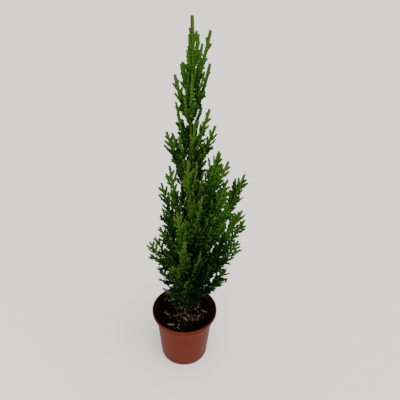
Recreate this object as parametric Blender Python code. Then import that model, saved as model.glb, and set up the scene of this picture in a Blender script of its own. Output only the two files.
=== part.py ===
"""A young Lawson cypress in a small round plastic nursery pot, as Blender objects in metres.

+Z is up and +X is to the right of a viewer who looks along +Y. The origin is the middle of the pot's flat
underside. One straight trunk runs up through the crown. Limbs leave it all round and sweep upwards, and each
ends in a flat, fern-like spray of scaly shoots. Every spray is one closed body that keeps to the space round
its limb.
"""

import math
import random
from collections import namedtuple

import bpy
import numpy as np
from mathutils import Matrix, Vector, noise

MM = 0.001
UP = Vector((0, 0, 1))
GAP = 0.3 * MM  # between any two bodies that touch on the real plant

# Pot
POT_HEIGHT = 80 * MM
RIM_RADIUS = 45 * MM
FLARE_RADIUS = 42 * MM
BODY_TOP_RADIUS = 38.7 * MM
BASE_RADIUS = 33 * MM
BASE_CHAMFER = 1.2 * MM
FLARE_START = 64 * MM  # heights on the wall
FLARE_MIDDLE = 69 * MM
FLARE_END = 73 * MM
LIP_START = 75 * MM
FLARE_SWELL = 1.1 * MM  # how far the wall has swung out by the flare's middle
LIP_ROUNDING = 0.8 * MM
WALL = 1.3 * MM
FLOOR = 1.6 * MM
POT_SIDES = 40
DRAIN_HOLES = 6
DRAIN_HOLE_RADIUS = 3.5 * MM
DRAIN_CIRCLE_RADIUS = 22 * MM
DRAIN_SIDES = 10
POT_CREASE = 35.0  # degrees from which an edge looks sharp

# Compost
SOIL_LEVEL = 71.5 * MM
SOIL_SINK = 1.6 * MM  # how far its surface sinks from the trunk to the wall
SOIL_ROUGHNESS = 1.3 * MM
SOIL_LUMP = 9 * MM
SOIL_EDGE_HEIGHT = 69 * MM  # the lowest that its edge can lie
SOIL_RINGS = 6
SOIL_SIDES = 24
SOIL_FLAT_RADIUS = 10 * MM  # level ground round the trunk's foot
LUMPS_RISE = 4  # how fast the lumps set in beyond it

Chip = namedtuple("Chip", "x y turn length width")  # mm and degrees, seen from above
CHIPS = (
    Chip(-17.5, -23.5, -8, 10, 2.8),
    Chip(-24.5, -3.5, -30, 10, 3.4),
    Chip(28.0, 3.5, -16, 12, 3.4),
    Chip(5.0, -6.0, -50, 11, 2.4),
    Chip(1.5, -12.5, -40, 9, 2.6),
    Chip(20.5, -6.5, 55, 8, 2.8),
    Chip(16.5, 10.0, 70, 9, 3.0),
    Chip(-14.0, 21.0, 35, 9, 3.0),
    Chip(-9.0, -2.5, -35, 8, 2.6),
    Chip(9.0, 27.0, 10, 8, 2.8),
)
# of half its length and width
CHIP_OUTLINE = ((-1, 0), (-0.5, -1), (0.6, -0.9), (1, 0.1), (0.5, 1), (-0.6, 0.8))
CHIP_THICKNESS = 1.6 * MM
CHIP_TILT = 9.0  # degrees, at most

# Trunk
TRUNK_LINE = (  # its middle, as height, x and y in mm
    (71.8, 2.3, 5.5),
    (110, 2.5, 3.0),
    (170, 2.7, 1.0),
    (300, 4.7, 0.5),
    (404, 6.5, 0.0),
)
TRUNK_FOOT_RADIUS = 3.0 * MM
TRUNK_TIP_RADIUS = 1.0 * MM
ROOT_FLARE = 1.7 * MM
ROOT_FLARE_HEIGHT = 4.5 * MM
TRUNK_SIDES = 8
TRUNK_RINGS = 16
TRUNK_RING_CROWDING = 1.7  # towards the root flare
TRUNK_CREASE = 50.0

# Limbs
BOW_OUT = 0.60  # where the middle of a limb's bow is drawn to, as shares of its reach and of its rise
BOW_UP = 0.38
BOUGH_RADIUS = 1.25 * MM
BOUGH_TIP_RADIUS = 0.85 * MM
BOUGH_SIDES = 6
BOUGH_RINGS = 4
BOUGH_CREASE = 70.0
SPACE_SAMPLES = 16  # straight stretches that stand for a limb when spaces are measured

# Sprays
STEM_RADIUS = 0.95 * MM
STEM_TIP_RADIUS = 0.75 * MM
STEM_SIDES = 3
STEM_RINGS = 5
TIP_LENGTH = 11 * MM  # of the shoot that ends each stem
TIP_LEAD = 0.85  # how far a side shoot may reach towards the tip, as a share of the stem that is left
TWIG_SPACING = 8.4 * MM
TWIG_WIDTH = 4.3 * MM
TWIG_ANGLE = 38.0
TWIG_ANGLE_AT_TIP = 27.0
FIRST_TWIG = 0.7  # how far along its stretch of the stem the first side shoot stands, in spacings
FEWEST_TWIGS = 2
INNER_BREADTH = 0.6  # how far the first side shoots reach, as a share of the widest
BREADTH_GAIN = 0.8  # and how fast that grows along the stem
SHOOT_SPACING = 9.5 * MM
FIRST_SHOOT = 0.8
SHOOT_WIDTH = 3.8 * MM
SHOOT_ANGLE = 36.0
SHOOT_SHARE = 0.75  # of the length that its twig has left
SHOOTS_END = 0.72  # of the twig
LONGEST_SHOOT = 13 * MM
SHORTEST_LEAF = 6.5 * MM
SHORTEST_WISH = 10 * MM
ANGLE_PLAY = 5.0
LIFT_PLAY = 0.14  # how far shoots stray from their spray's plane
LEAF_THICKNESS = 0.5  # of its width
LEAF_ROOT = 0.6 * MM  # how far its root is sunk past the line that it grows from
LEAF_RIDGE = 0.65  # the share of its thickness that stands above its line
WIDEST_AT = 0.36  # of a leaf's length
CLEARANCE = 0.5 * MM  # what is kept free between leaves of different sprays, and between leaves and trunk
SOIL_CLEARANCE = 1.5 * MM
RIM_CLEARANCE = 2.5 * MM
LEAF_STEP = 1.4 * MM  # between the points of a leaf that are tested, and between the lengths that are tried
SEED = 11

# height: where a limb leaves the trunk; reach: how far out its tip is; tip: the tip's height; spread: half
# the width of its spray, all in mm. azimuth: degrees, 0 to the right and 270 to the front. roll: degrees that
# the flat spray is turned from the upright plane through the trunk. bare: the share of the limb that is a
# bough, 0 where the spray itself meets the trunk.
Limb = namedtuple("Limb", "name height azimuth reach tip spread roll bare")
LIMBS = (
    Limb("leader_right", 390, 346, 17, 451, 6, 10, 0),
    Limb("crown_left_1", 376, 180, 10, 420, 6, 20, 0),
    Limb("crown_right_1", 360, 9, 18, 418, 4, 0, 0),
    Limb("crown_left_2", 354, 190, 18, 408, 11, 5, 0),
    Limb("crown_right_2", 374, 325, 15, 412, 5, 40, 0),
    Limb("crown_front", 348, 270, 15, 402, 7, 50, 0),
    Limb("crown_back", 345, 95, 15, 388, 7, 40, 0),
    Limb("upper_left_1", 324, 167, 17, 377, 7, 20, 0),
    Limb("upper_right_1", 320, 349, 20, 373, 8, 10, 0),
    Limb("upper_front", 302, 285, 18, 362, 8, 45, 0),
    Limb("upper_right_2", 292, 12, 28, 351, 12, 5, 0),
    Limb("upper_left_2", 286, 187, 26, 346, 10, 0, 0),
    Limb("upper_back", 300, 96, 20, 353, 9, 50, 0),
    Limb("upper_left_3", 268, 148, 26, 328, 9, 30, 0),
    Limb("middle_right_1", 234, 346, 34, 327, 16, 10, 0.22),
    Limb("middle_front_1", 238, 268, 23, 322, 11, 45, 0),
    Limb("middle_left_1", 198, 192, 22, 306, 13, 15, 0),
    Limb("middle_back_1", 232, 58, 28, 312, 12, 40, 0),
    Limb("middle_back_2", 216, 116, 27, 301, 12, 50, 0),
    Limb("middle_right_2", 142, 4, 66, 292, 14, 10, 0.28),
    Limb("middle_front_2", 188, 298, 35, 282, 12, 40, 0.2),
    Limb("middle_right_3", 176, 338, 46, 289, 14, 20, 0.24),
    Limb("middle_right_4", 128, 353, 66, 250, 13, 5, 0.28),
    Limb("middle_left_4", 182, 174, 32, 279, 11, 10, 0),
    Limb("middle_left_2", 164, 158, 35, 238, 12, 25, 0),
    Limb("middle_left_3", 150, 204, 36, 228, 12, 10, 0),
    Limb("middle_back_3", 168, 40, 44, 267, 14, 35, 0.22),
    Limb("middle_back_4", 180, 132, 34, 262, 13, 45, 0),
    Limb("middle_front_3", 168, 248, 30, 258, 12, 50, 0),
    Limb("lower_left_1", 126, 194, 48, 202, 14, 20, 0.24),
    Limb("lower_left_2", 134, 170, 43, 196, 9, 10, 0),
    Limb("lower_left_3", 106, 194, 38, 160, 10, 30, 0),
    Limb("lower_left_4", 97, 170, 39, 126, 7, 40, 0),
    Limb("lower_right_1", 112, 350, 65, 207, 12, 10, 0.28),
    Limb("lower_right_2", 104, 14, 56, 166, 10, 30, 0),
    Limb("lower_right_3", 96, 343, 54, 162, 9, 15, 0),
    Limb("lower_right_4", 88, 5, 50, 127, 8, 20, 0),
    Limb("lower_front_1", 130, 266, 38, 223, 13, 50, 0),
    Limb("lower_front_2", 118, 292, 46, 210, 13, 45, 0),
    Limb("lower_front_3", 101, 310, 47, 184, 10, 40, 0),
    Limb("lower_front_4", 111, 243, 37, 182, 12, 45, 0),
    Limb("lower_front_5", 93, 272, 35, 158, 10, 55, 0),
    Limb("lower_left_5", 87, 214, 31, 122, 8, 40, 0),
    Limb("lower_back_1", 124, 88, 42, 214, 14, 45, 0),
    Limb("lower_back_2", 112, 134, 42, 190, 12, 40, 0),
    Limb("lower_back_3", 110, 52, 48, 192, 12, 45, 0),
    Limb("lower_back_4", 95, 100, 40, 150, 10, 50, 0),
)
LEADER_TIP = Vector((4.7, 0.0, 463.0)) * MM
LEADER_SPREAD = 8 * MM
LEADER_NARROWING = 0.65  # of the usual angle at which shoots leave a stem
LEADER_TURN = 50.0  # degrees from each pair of its shoots round to the next

DEEP_GREEN = (0.030, 0.095, 0.012)
BRIGHT_GREEN = (0.075, 0.180, 0.018)

Curve = namedtuple("Curve", "start bend end")
Spray = namedtuple("Spray", "name curve side roll start spread narrowing turn")
Leaf = namedtuple("Leaf", "root way across length width")


def clear_scene():
    for obj in list(bpy.data.objects):
        bpy.data.objects.remove(obj)


def material(name, colour, roughness):
    made = bpy.data.materials.new(name)
    made.use_nodes = True
    shader = made.node_tree.nodes["Principled BSDF"]
    shader.inputs["Base Color"].default_value = (*colour, 1)
    shader.inputs["Roughness"].default_value = roughness
    shader.inputs["Metallic"].default_value = 0
    return made


def pot_plastic():
    return material("terracotta_plastic", (0.29, 0.075, 0.035), 0.42)


def damp_compost():
    return material("damp_compost", (0.014, 0.010, 0.008), 0.95)


def bark(name):
    return material(name + "_bark", (0.12, 0.058, 0.028), 0.85)


def foliage(name, height):
    """Green that grows brighter from the foot of the crown to its top."""
    share = height / LEADER_TIP.z
    green = Vector(DEEP_GREEN).lerp(BRIGHT_GREEN, share)
    return material(name + "_green", green, 0.55)


def mesh_of(name, points, faces):
    mesh = bpy.data.meshes.new(name)
    mesh.from_pydata([tuple(point) for point in points], [], faces)
    mesh.update()
    return mesh


def add_object(name, mesh, finish):
    mesh.materials.clear()
    mesh.materials.append(finish)
    obj = bpy.data.objects.new(name, mesh)
    bpy.context.scene.collection.objects.link(obj)
    return obj


def shade_round(obj, sharp_from):
    obj.data.shade_smooth()
    obj.data.set_sharp_from_angle(angle=math.radians(sharp_from))


def turned(name, profile, sides):
    """A closed mesh turned about Z from a profile of (radius, height), with a flat cap at each end."""
    points = []
    for radius, height in profile:
        for k in range(sides):
            turn = math.tau * k / sides
            points.append((radius * math.cos(turn), radius * math.sin(turn), height))
    return mesh_of(name, points, ring_faces(len(profile), sides))


def ring_faces(rings, sides):
    """Caps and walls over rings of points that are numbered in order."""
    last = (rings - 1) * sides
    faces = [tuple(range(sides))[::-1], tuple(range(last, last + sides))]
    for ring in range(rings - 1):
        low = ring * sides
        for k in range(sides):
            after = (k + 1) % sides
            faces.append((low + k, low + after, low + sides + after, low + sides + k))
    return faces


def combine(obj, others, operation, solver):
    """Applies one Boolean of an object with a collection of others, and removes them."""
    group = bpy.data.collections.new(obj.name + "_others")
    bpy.context.scene.collection.children.link(group)
    for other in others:
        bpy.context.scene.collection.objects.unlink(other)
        group.objects.link(other)
    modifier = obj.modifiers.new("combine", "BOOLEAN")
    modifier.operation = operation
    modifier.operand_type = "COLLECTION"
    modifier.collection = group
    modifier.solver = solver
    seen = obj.evaluated_get(bpy.context.evaluated_depsgraph_get())
    obj.data = bpy.data.meshes.new_from_object(seen)
    obj.modifiers.clear()
    for other in others:
        bpy.data.objects.remove(other)
    bpy.data.collections.remove(group)


def outer_profile():
    """The pot's outside, from the edge of its flat base up over its lip."""
    return [
        (BASE_RADIUS - BASE_CHAMFER, 0),
        (BASE_RADIUS, BASE_CHAMFER),
        (BODY_TOP_RADIUS, FLARE_START),
        (BODY_TOP_RADIUS + FLARE_SWELL, FLARE_MIDDLE),
        (FLARE_RADIUS, FLARE_END),
        (RIM_RADIUS - LIP_ROUNDING, LIP_START),
        (RIM_RADIUS, LIP_START + 2 * LIP_ROUNDING),
        (RIM_RADIUS, POT_HEIGHT - LIP_ROUNDING),
        (RIM_RADIUS - LIP_ROUNDING, POT_HEIGHT),
    ]


def inner_profile():
    """The pot's inside, from its lip down to its floor, one wall in from the outside."""
    return [
        (RIM_RADIUS - WALL, POT_HEIGHT),
        (RIM_RADIUS - LIP_ROUNDING - WALL, LIP_START),
        (FLARE_RADIUS - WALL, FLARE_END),
        (BODY_TOP_RADIUS + FLARE_SWELL - WALL, FLARE_MIDDLE),
        (BODY_TOP_RADIUS - WALL, FLARE_START),
        (BASE_RADIUS - WALL, FLOOR),
    ]


def inner_radius(height):
    inside = inner_profile()[::-1]
    return float(np.interp(height, [level for _, level in inside], [radius for radius, _ in inside]))


def add_pot():
    pot = add_object("pot", turned("pot", outer_profile() + inner_profile(), POT_SIDES), pot_plastic())
    cutters = []
    for k in range(DRAIN_HOLES):
        hole = [(DRAIN_HOLE_RADIUS, -FLOOR), (DRAIN_HOLE_RADIUS, 2 * FLOOR)]
        cutter = bpy.data.objects.new(f"drain_{k}", turned("drain", hole, DRAIN_SIDES))
        turn = Matrix.Rotation(math.tau * (k + 0.5) / DRAIN_HOLES, 4, "Z")
        cutter.data.transform(turn @ Matrix.Translation((DRAIN_CIRCLE_RADIUS, 0, 0)))
        bpy.context.scene.collection.objects.link(cutter)
        cutters.append(cutter)
    combine(pot, cutters, "DIFFERENCE", "EXACT")
    shade_round(pot, POT_CREASE)


def soil_height(x, y):
    """The compost's surface: level round the trunk's foot, then lumpy and sinking to the wall."""
    edge = inner_radius(SOIL_EDGE_HEIGHT)
    share = (math.hypot(x, y) - SOIL_FLAT_RADIUS) / (edge - SOIL_FLAT_RADIUS)
    share = max(0, min(1, share))
    lumps = noise.noise(Vector((x, y, 0)) / SOIL_LUMP) * min(1, LUMPS_RISE * share)
    return SOIL_LEVEL - SOIL_SINK * share + SOIL_ROUGHNESS * lumps


def add_compost(dice):
    """The root ball's closed outside in the pot, with the largest bits of bark fused on its surface."""
    edge = inner_radius(SOIL_EDGE_HEIGHT) - GAP
    low = FLOOR + GAP
    profile = [(inner_radius(low) - GAP, low), (BODY_TOP_RADIUS - WALL - GAP, FLARE_START)]
    profile += [(edge * k / SOIL_RINGS, SOIL_LEVEL) for k in range(SOIL_RINGS, 0, -1)]
    mesh = turned("compost", profile, SOIL_SIDES)
    for vertex in mesh.vertices:
        if vertex.co.z > FLARE_START + GAP:
            vertex.co.z = soil_height(vertex.co.x, vertex.co.y)
    compost = add_object("compost", mesh, damp_compost())
    combine(compost, [chip_object(chip, dice) for chip in CHIPS], "UNION", "EXACT")


def chip_object(chip, dice):
    """One flake of bark, pointed at its ends and lying half sunk."""
    half = Vector((chip.length, chip.width, CHIP_THICKNESS / MM)) * MM / 2
    points = [(half.x * x, half.y * y, level) for level in (-half.z, half.z) for x, y in CHIP_OUTLINE]
    mesh = mesh_of("chip", points, ring_faces(2, len(CHIP_OUTLINE)))
    lean = Matrix.Rotation(math.radians(dice.uniform(-CHIP_TILT, CHIP_TILT)), 4, "Y")
    turn = Matrix.Rotation(math.radians(chip.turn), 4, "Z")
    x, y = chip.x * MM, chip.y * MM
    mesh.transform(Matrix.Translation((x, y, soil_height(x, y))) @ turn @ lean)
    obj = bpy.data.objects.new("chip", mesh)
    bpy.context.scene.collection.objects.link(obj)
    return obj


def trunk_point(height):
    """The middle of the trunk at a height."""
    levels = [level * MM for level, _, _ in TRUNK_LINE]
    x = np.interp(height, levels, [x * MM for _, x, _ in TRUNK_LINE])
    y = np.interp(height, levels, [y * MM for _, _, y in TRUNK_LINE])
    return Vector((x, y, height))


def trunk_radius(height):
    foot, tip = TRUNK_LINE[0][0] * MM, TRUNK_LINE[-1][0] * MM
    share = max(0, min(1, (height - foot) / (tip - foot)))
    flare = ROOT_FLARE * math.exp(-(height - foot) / ROOT_FLARE_HEIGHT)
    return TRUNK_FOOT_RADIUS + (TRUNK_TIP_RADIUS - TRUNK_FOOT_RADIUS) * share + flare


def tube(name, centres, ways, acrosses, radii, sides):
    """A closed tapering tube through rings that are each square to their way."""
    points = []
    for centre, way, across, radius in zip(centres, ways, acrosses, radii):
        deep = way.cross(across)
        for k in range(sides):
            turn = math.tau * k / sides
            points.append(centre + (across * math.cos(turn) + deep * math.sin(turn)) * radius)
    return mesh_of(name, points, ring_faces(len(centres), sides))


def add_trunk():
    foot, tip = TRUNK_LINE[0][0] * MM, TRUNK_LINE[-1][0] * MM
    shares = [(k / TRUNK_RINGS) ** TRUNK_RING_CROWDING for k in range(TRUNK_RINGS + 1)]
    heights = [foot + (tip - foot) * share for share in shares]
    count = len(heights)
    centres = [trunk_point(height) for height in heights]
    radii = [trunk_radius(height) for height in heights]
    mesh = tube("trunk", centres, [UP] * count, [Vector((1, 0, 0))] * count, radii, TRUNK_SIDES)
    shade_round(add_object("trunk", mesh, bark("trunk")), TRUNK_CREASE)


def limb_curve(limb):
    """A limb's line, bowed up and out from just clear of the trunk to its tip."""
    turn = math.radians(limb.azimuth)
    out = Vector((math.cos(turn), math.sin(turn), 0)) * limb.reach * MM
    rise = UP * (limb.tip - limb.height) * MM
    foot = trunk_point(limb.height * MM)
    bend = foot + out * BOW_OUT + rise * BOW_UP
    slope = (bend - foot).normalized()
    radius = BOUGH_RADIUS if limb.bare else STEM_RADIUS
    clear = trunk_radius(foot.z) + GAP + radius * slope.z
    start = foot + slope * clear / math.hypot(slope.x, slope.y)
    return Curve(start, bend, foot + out + rise)


def limb_spray(limb):
    """The spray that a limb ends in, or that it is where it has no bough."""
    curve = limb_curve(limb)
    turn = math.radians(limb.azimuth)
    side = Vector((math.sin(turn), -math.cos(turn), 0))
    start = limb.bare + GAP / length_of(curve) if limb.bare else 0
    return Spray(limb.name + "_spray", curve, side, math.radians(limb.roll), start, limb.spread * MM, 1, 0)


def leader_spray():
    """The leading shoot, which goes on from the trunk's tip, with shorter shoots all round it."""
    foot = trunk_point(TRUNK_LINE[-1][0] * MM) + UP * GAP
    curve = Curve(foot, (foot + LEADER_TIP) / 2, LEADER_TIP)
    turn = math.radians(LEADER_TURN)
    return Spray("leader_spray", curve, Vector((0, -1, 0)), 0, 0, LEADER_SPREAD, LEADER_NARROWING, turn)


def point_on(curve, share):
    rest = 1 - share
    return curve.start * rest * rest + curve.bend * 2 * share * rest + curve.end * share * share


def way_on(curve, share):
    return ((curve.bend - curve.start) * (1 - share) + (curve.end - curve.bend) * share).normalized()


def length_of(curve):
    points = [point_on(curve, k / SPACE_SAMPLES) for k in range(SPACE_SAMPLES + 1)]
    return sum((after - before).length for before, after in zip(points, points[1:]))


def across_on(spray, share, turn=0):
    """The direction in which a spray is flat, square to its stem and level or upright as its roll says."""
    upright = way_on(spray.curve, share).cross(spray.side)
    roll = spray.roll + turn
    return (upright * math.cos(roll) + spray.side * math.sin(roll)).normalized()


def stem_tube(spray, ends, radii, sides, rings):
    """A tapering tube along a stretch of a spray's line."""
    shares = [ends[0] + (ends[1] - ends[0]) * k / rings for k in range(rings + 1)]
    centres = [point_on(spray.curve, share) for share in shares]
    ways = [way_on(spray.curve, share) for share in shares]
    acrosses = [across_on(spray, share) for share in shares]
    sizes = [radii[0] + (radii[1] - radii[0]) * k / rings for k in range(rings + 1)]
    return tube(spray.name, centres, ways, acrosses, sizes, sides)


class Spaces:
    """The space round each limb: what lies nearer to its line than to any other, by a margin."""

    def __init__(self, curves):
        shares = [k / SPACE_SAMPLES for k in range(SPACE_SAMPLES + 1)]
        points = np.array([[point_on(curve, share) for share in shares] for curve in curves])
        self.starts = points[:, :-1]
        self.runs = points[:, 1:] - points[:, :-1]

    def distances(self, point):
        away = np.array(point) - self.starts
        share = np.clip((away * self.runs).sum(-1) / (self.runs**2).sum(-1), 0, 1)
        nearest = away - share[..., None] * self.runs
        return np.sqrt((nearest**2).sum(-1)).min(-1)

    def holds(self, own, point, width):
        """True where a leaf of that width at a point lies in its limb's space, clear of all that is hard."""
        side = width / 2 + CLEARANCE
        trunk_tip = TRUNK_LINE[-1][0] * MM
        if point.z < trunk_tip:
            away = math.hypot(*(point - trunk_point(point.z)).xy)
            if away < trunk_radius(point.z) + side:
                return False
        if point.z < SOIL_LEVEL + SOIL_CLEARANCE + side:
            return False
        beyond_soil = math.hypot(point.x, point.y) > inner_radius(SOIL_EDGE_HEIGHT) - side
        if beyond_soil and point.z < POT_HEIGHT + RIM_CLEARANCE + side:
            return False
        apart = self.distances(point)
        return apart[own] + width + CLEARANCE < np.delete(apart, own).min()

    def fits(self, own, root, way, length, width, skip):
        """True where every point of a leaf, past what is sunk in its twig, lies in the limb's own space."""
        along = skip
        while along < length + LEAF_STEP:
            reached = min(along, length)
            part = reached / length
            local = width * min(part / WIDEST_AT, (1 - part) / (1 - WIDEST_AT))
            if not self.holds(own, root + way * reached, local):
                return False
            along += LEAF_STEP
        return True

    def fitting_length(self, own, root, way, wish, width, skip):
        """The longest leaf, up to the wish, that fits, or nothing where even a short one doesn't."""
        length = wish
        while length >= SHORTEST_LEAF:
            if self.fits(own, root, way, length, width, skip):
                return length
            length -= LEAF_STEP
        return 0


def breadth(share):
    """How far a spray's shoots reach to the side along its stem, as a share of the widest."""
    return min(1, INNER_BREADTH + BREADTH_GAIN * share)


def flat_leaf(root, way, normal, length, width):
    return Leaf(root, way, normal.cross(way).normalized(), length, width)


def turned_way(way, across, normal, angle, lift):
    """The direction at an angle from a way towards across, lifted a little from their plane."""
    return (way * math.cos(angle) + across * math.sin(angle) + normal * lift).normalized()


def shoots_on(twig, normal, spaces, own, dice):
    """The small shoots left and right of one long side shoot."""
    leaves = []
    hand = dice.choice((-1, 1))
    along = SHOOT_SPACING * FIRST_SHOOT
    while along < twig.length * SHOOTS_END:
        root = twig.root + twig.way * along
        angle = math.radians(SHOOT_ANGLE + dice.uniform(-ANGLE_PLAY, ANGLE_PLAY))
        lift = dice.uniform(-LIFT_PLAY, LIFT_PLAY)
        way = turned_way(twig.way, twig.across * hand, normal, angle, lift)
        wish = min(LONGEST_SHOOT, max(SHORTEST_WISH, (twig.length - along) * SHOOT_SHARE))
        length = spaces.fitting_length(own, root, way, wish, SHOOT_WIDTH, LEAF_STEP)
        if length:
            leaves.append(flat_leaf(root, way, normal, length, SHOOT_WIDTH))
        hand = -hand
        along += SHOOT_SPACING
    return leaves


def spray_leaves(spray, spaces, own, dice):
    """All the shoots of a spray: left and right of its stem in turn, with smaller ones on the long ones."""
    leaves = []
    curve = spray.curve
    whole = length_of(curve)
    count = max(FEWEST_TWIGS, int(whole * (1 - spray.start) / TWIG_SPACING))
    hand = dice.choice((-1, 1))
    for k in range(count):
        along = (k + FIRST_TWIG) / (count + 1 - FIRST_TWIG)
        share = spray.start + (1 - spray.start) * along
        stem_way = way_on(curve, share)
        across = across_on(spray, share, spray.turn * (k // 2))
        normal = stem_way.cross(across)
        degrees = TWIG_ANGLE + (TWIG_ANGLE_AT_TIP - TWIG_ANGLE) * along
        angle = math.radians((degrees + dice.uniform(-ANGLE_PLAY, ANGLE_PLAY)) * spray.narrowing)
        way = turned_way(stem_way, across * hand, normal, angle, dice.uniform(-LIFT_PLAY, LIFT_PLAY))
        hand = -hand
        wish = max(SHORTEST_WISH, spray.spread * breadth(along) / math.sin(angle))
        wish = min(wish, whole * (1 - share) * TIP_LEAD / math.cos(angle))
        root = point_on(curve, share)
        length = spaces.fitting_length(own, root, way, wish, TWIG_WIDTH, LEAF_STEP)
        if length:
            twig = flat_leaf(root, way, normal, length, TWIG_WIDTH)
            leaves.append(twig)
            leaves += shoots_on(twig, normal, spaces, own, dice)
    tip_start = point_on(curve, 1 - TIP_LENGTH / whole)
    rest = curve.end - tip_start
    normal = rest.normalized().cross(across_on(spray, 1))
    leaves.append(flat_leaf(tip_start, rest.normalized(), normal, rest.length, TWIG_WIDTH))
    return leaves


def leaf_object(leaf):
    """One shoot as a three-sided spindle, flat below and ridged above, widest near its root."""
    above = leaf.way.cross(leaf.across) * leaf.width * LEAF_THICKNESS
    wide = leaf.across * leaf.width / 2
    middle = leaf.root + leaf.way * leaf.length * WIDEST_AT
    low = middle - above * (1 - LEAF_RIDGE)
    ring = [low + wide, middle + above * LEAF_RIDGE, low - wide]
    points = [leaf.root - leaf.way * LEAF_ROOT, *ring, leaf.root + leaf.way * leaf.length]
    faces = []
    for k in range(3):
        after = (k + 1) % 3
        faces.append((0, 1 + after, 1 + k))
        faces.append((4, 1 + k, 1 + after))
    obj = bpy.data.objects.new("leaf", mesh_of("leaf", points, faces))
    bpy.context.scene.collection.objects.link(obj)
    return obj


def add_bough(limb):
    """The bare lower part of a large limb, from the trunk to where its spray begins."""
    bough = limb_spray(limb)._replace(name=limb.name + "_bough", roll=0)
    mesh = stem_tube(bough, (0, limb.bare), (BOUGH_RADIUS, BOUGH_TIP_RADIUS), BOUGH_SIDES, BOUGH_RINGS)
    shade_round(add_object(bough.name, mesh, bark(limb.name)), BOUGH_CREASE)


def add_spray(spray, leaves):
    """One mass: a three-sided stem with its shoots joined on."""
    ends = (spray.start, 1 - TIP_LENGTH / 2 / length_of(spray.curve))
    mesh = stem_tube(spray, ends, (STEM_RADIUS, STEM_TIP_RADIUS), STEM_SIDES, STEM_RINGS)
    mass = add_object(spray.name, mesh, foliage(spray.name, spray.curve.end.z))
    combine(mass, [leaf_object(leaf) for leaf in leaves], "UNION", "MANIFOLD")


def main():
    clear_scene()
    dice = random.Random(SEED)
    add_pot()
    add_compost(dice)
    add_trunk()
    for limb in LIMBS:
        if limb.bare:
            add_bough(limb)
    sprays = [limb_spray(limb) for limb in LIMBS] + [leader_spray()]
    spaces = Spaces([spray.curve for spray in sprays])
    for own, spray in enumerate(sprays):
        add_spray(spray, spray_leaves(spray, spaces, own, dice))


main()
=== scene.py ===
"""Looks of a young Lawson cypress in its nursery pot: bark, scaly sprays, compost and moulded plastic.

The file is laid out as an add-on and run as a script. Everything is in metres, +Z up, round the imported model.
Each limb of the source grows again here by the same rule, with more and finer shoots inside the same reach.
"""

import math
import random
from collections import namedtuple

import bmesh
import bpy
import numpy as np
from bpy.props import FloatProperty, FloatVectorProperty, IntProperty, PointerProperty
from bpy.types import Operator, Panel, PropertyGroup
from mathutils import Matrix, Vector, noise


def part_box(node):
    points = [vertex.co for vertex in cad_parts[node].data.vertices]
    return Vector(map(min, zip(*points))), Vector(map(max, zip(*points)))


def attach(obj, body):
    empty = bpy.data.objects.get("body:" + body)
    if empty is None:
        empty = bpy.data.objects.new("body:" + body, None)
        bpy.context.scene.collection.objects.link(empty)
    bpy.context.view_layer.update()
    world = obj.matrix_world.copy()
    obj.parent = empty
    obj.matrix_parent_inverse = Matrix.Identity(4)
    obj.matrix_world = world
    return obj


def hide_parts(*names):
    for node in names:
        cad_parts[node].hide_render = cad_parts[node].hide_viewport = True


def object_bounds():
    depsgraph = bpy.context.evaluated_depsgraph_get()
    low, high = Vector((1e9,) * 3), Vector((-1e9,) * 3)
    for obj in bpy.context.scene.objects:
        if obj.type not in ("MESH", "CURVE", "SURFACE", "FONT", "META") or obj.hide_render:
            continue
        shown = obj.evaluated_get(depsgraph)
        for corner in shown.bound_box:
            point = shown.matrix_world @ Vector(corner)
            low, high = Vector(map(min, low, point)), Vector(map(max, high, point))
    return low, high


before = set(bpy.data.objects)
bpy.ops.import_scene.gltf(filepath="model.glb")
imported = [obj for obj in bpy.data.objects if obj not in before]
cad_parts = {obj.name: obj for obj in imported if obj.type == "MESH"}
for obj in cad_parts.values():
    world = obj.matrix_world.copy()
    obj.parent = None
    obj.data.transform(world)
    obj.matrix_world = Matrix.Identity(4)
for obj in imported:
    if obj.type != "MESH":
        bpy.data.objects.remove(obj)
CAD_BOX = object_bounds()

bl_info = {
    "name": "Potted Lawson Cypress",
    "version": (1, 0, 0),
    "blender": (4, 5, 0),
    "location": "3D View > Sidebar > Cypress",
    "description": "Grows the bark, sprays, compost and pot of a young potted cypress",
    "category": "Object",
}

MM = 0.001
UP = Vector((0, 0, 1))
BODY = "root"
POT_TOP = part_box("pot")[1].z
POT_RIM_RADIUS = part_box("pot")[1].x
TRUNK_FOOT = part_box("trunk")[0].z
TRUNK_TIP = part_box("trunk")[1].z
GAP = 0.3 * MM  # between a piece and the one that it sits against, as in the source

# The source's trunk, as height, x and y in mm
TRUNK_LINE = (
    (71.8, 2.3, 5.5),
    (110, 2.5, 3.0),
    (170, 2.7, 1.0),
    (300, 4.7, 0.5),
    (404, 6.5, 0.0),
)
TRUNK_FOOT_RADIUS = 3.0 * MM
TRUNK_TIP_RADIUS = 1.0 * MM
ROOT_FLARE = 1.7 * MM
ROOT_FLARE_HEIGHT = 4.5 * MM

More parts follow.
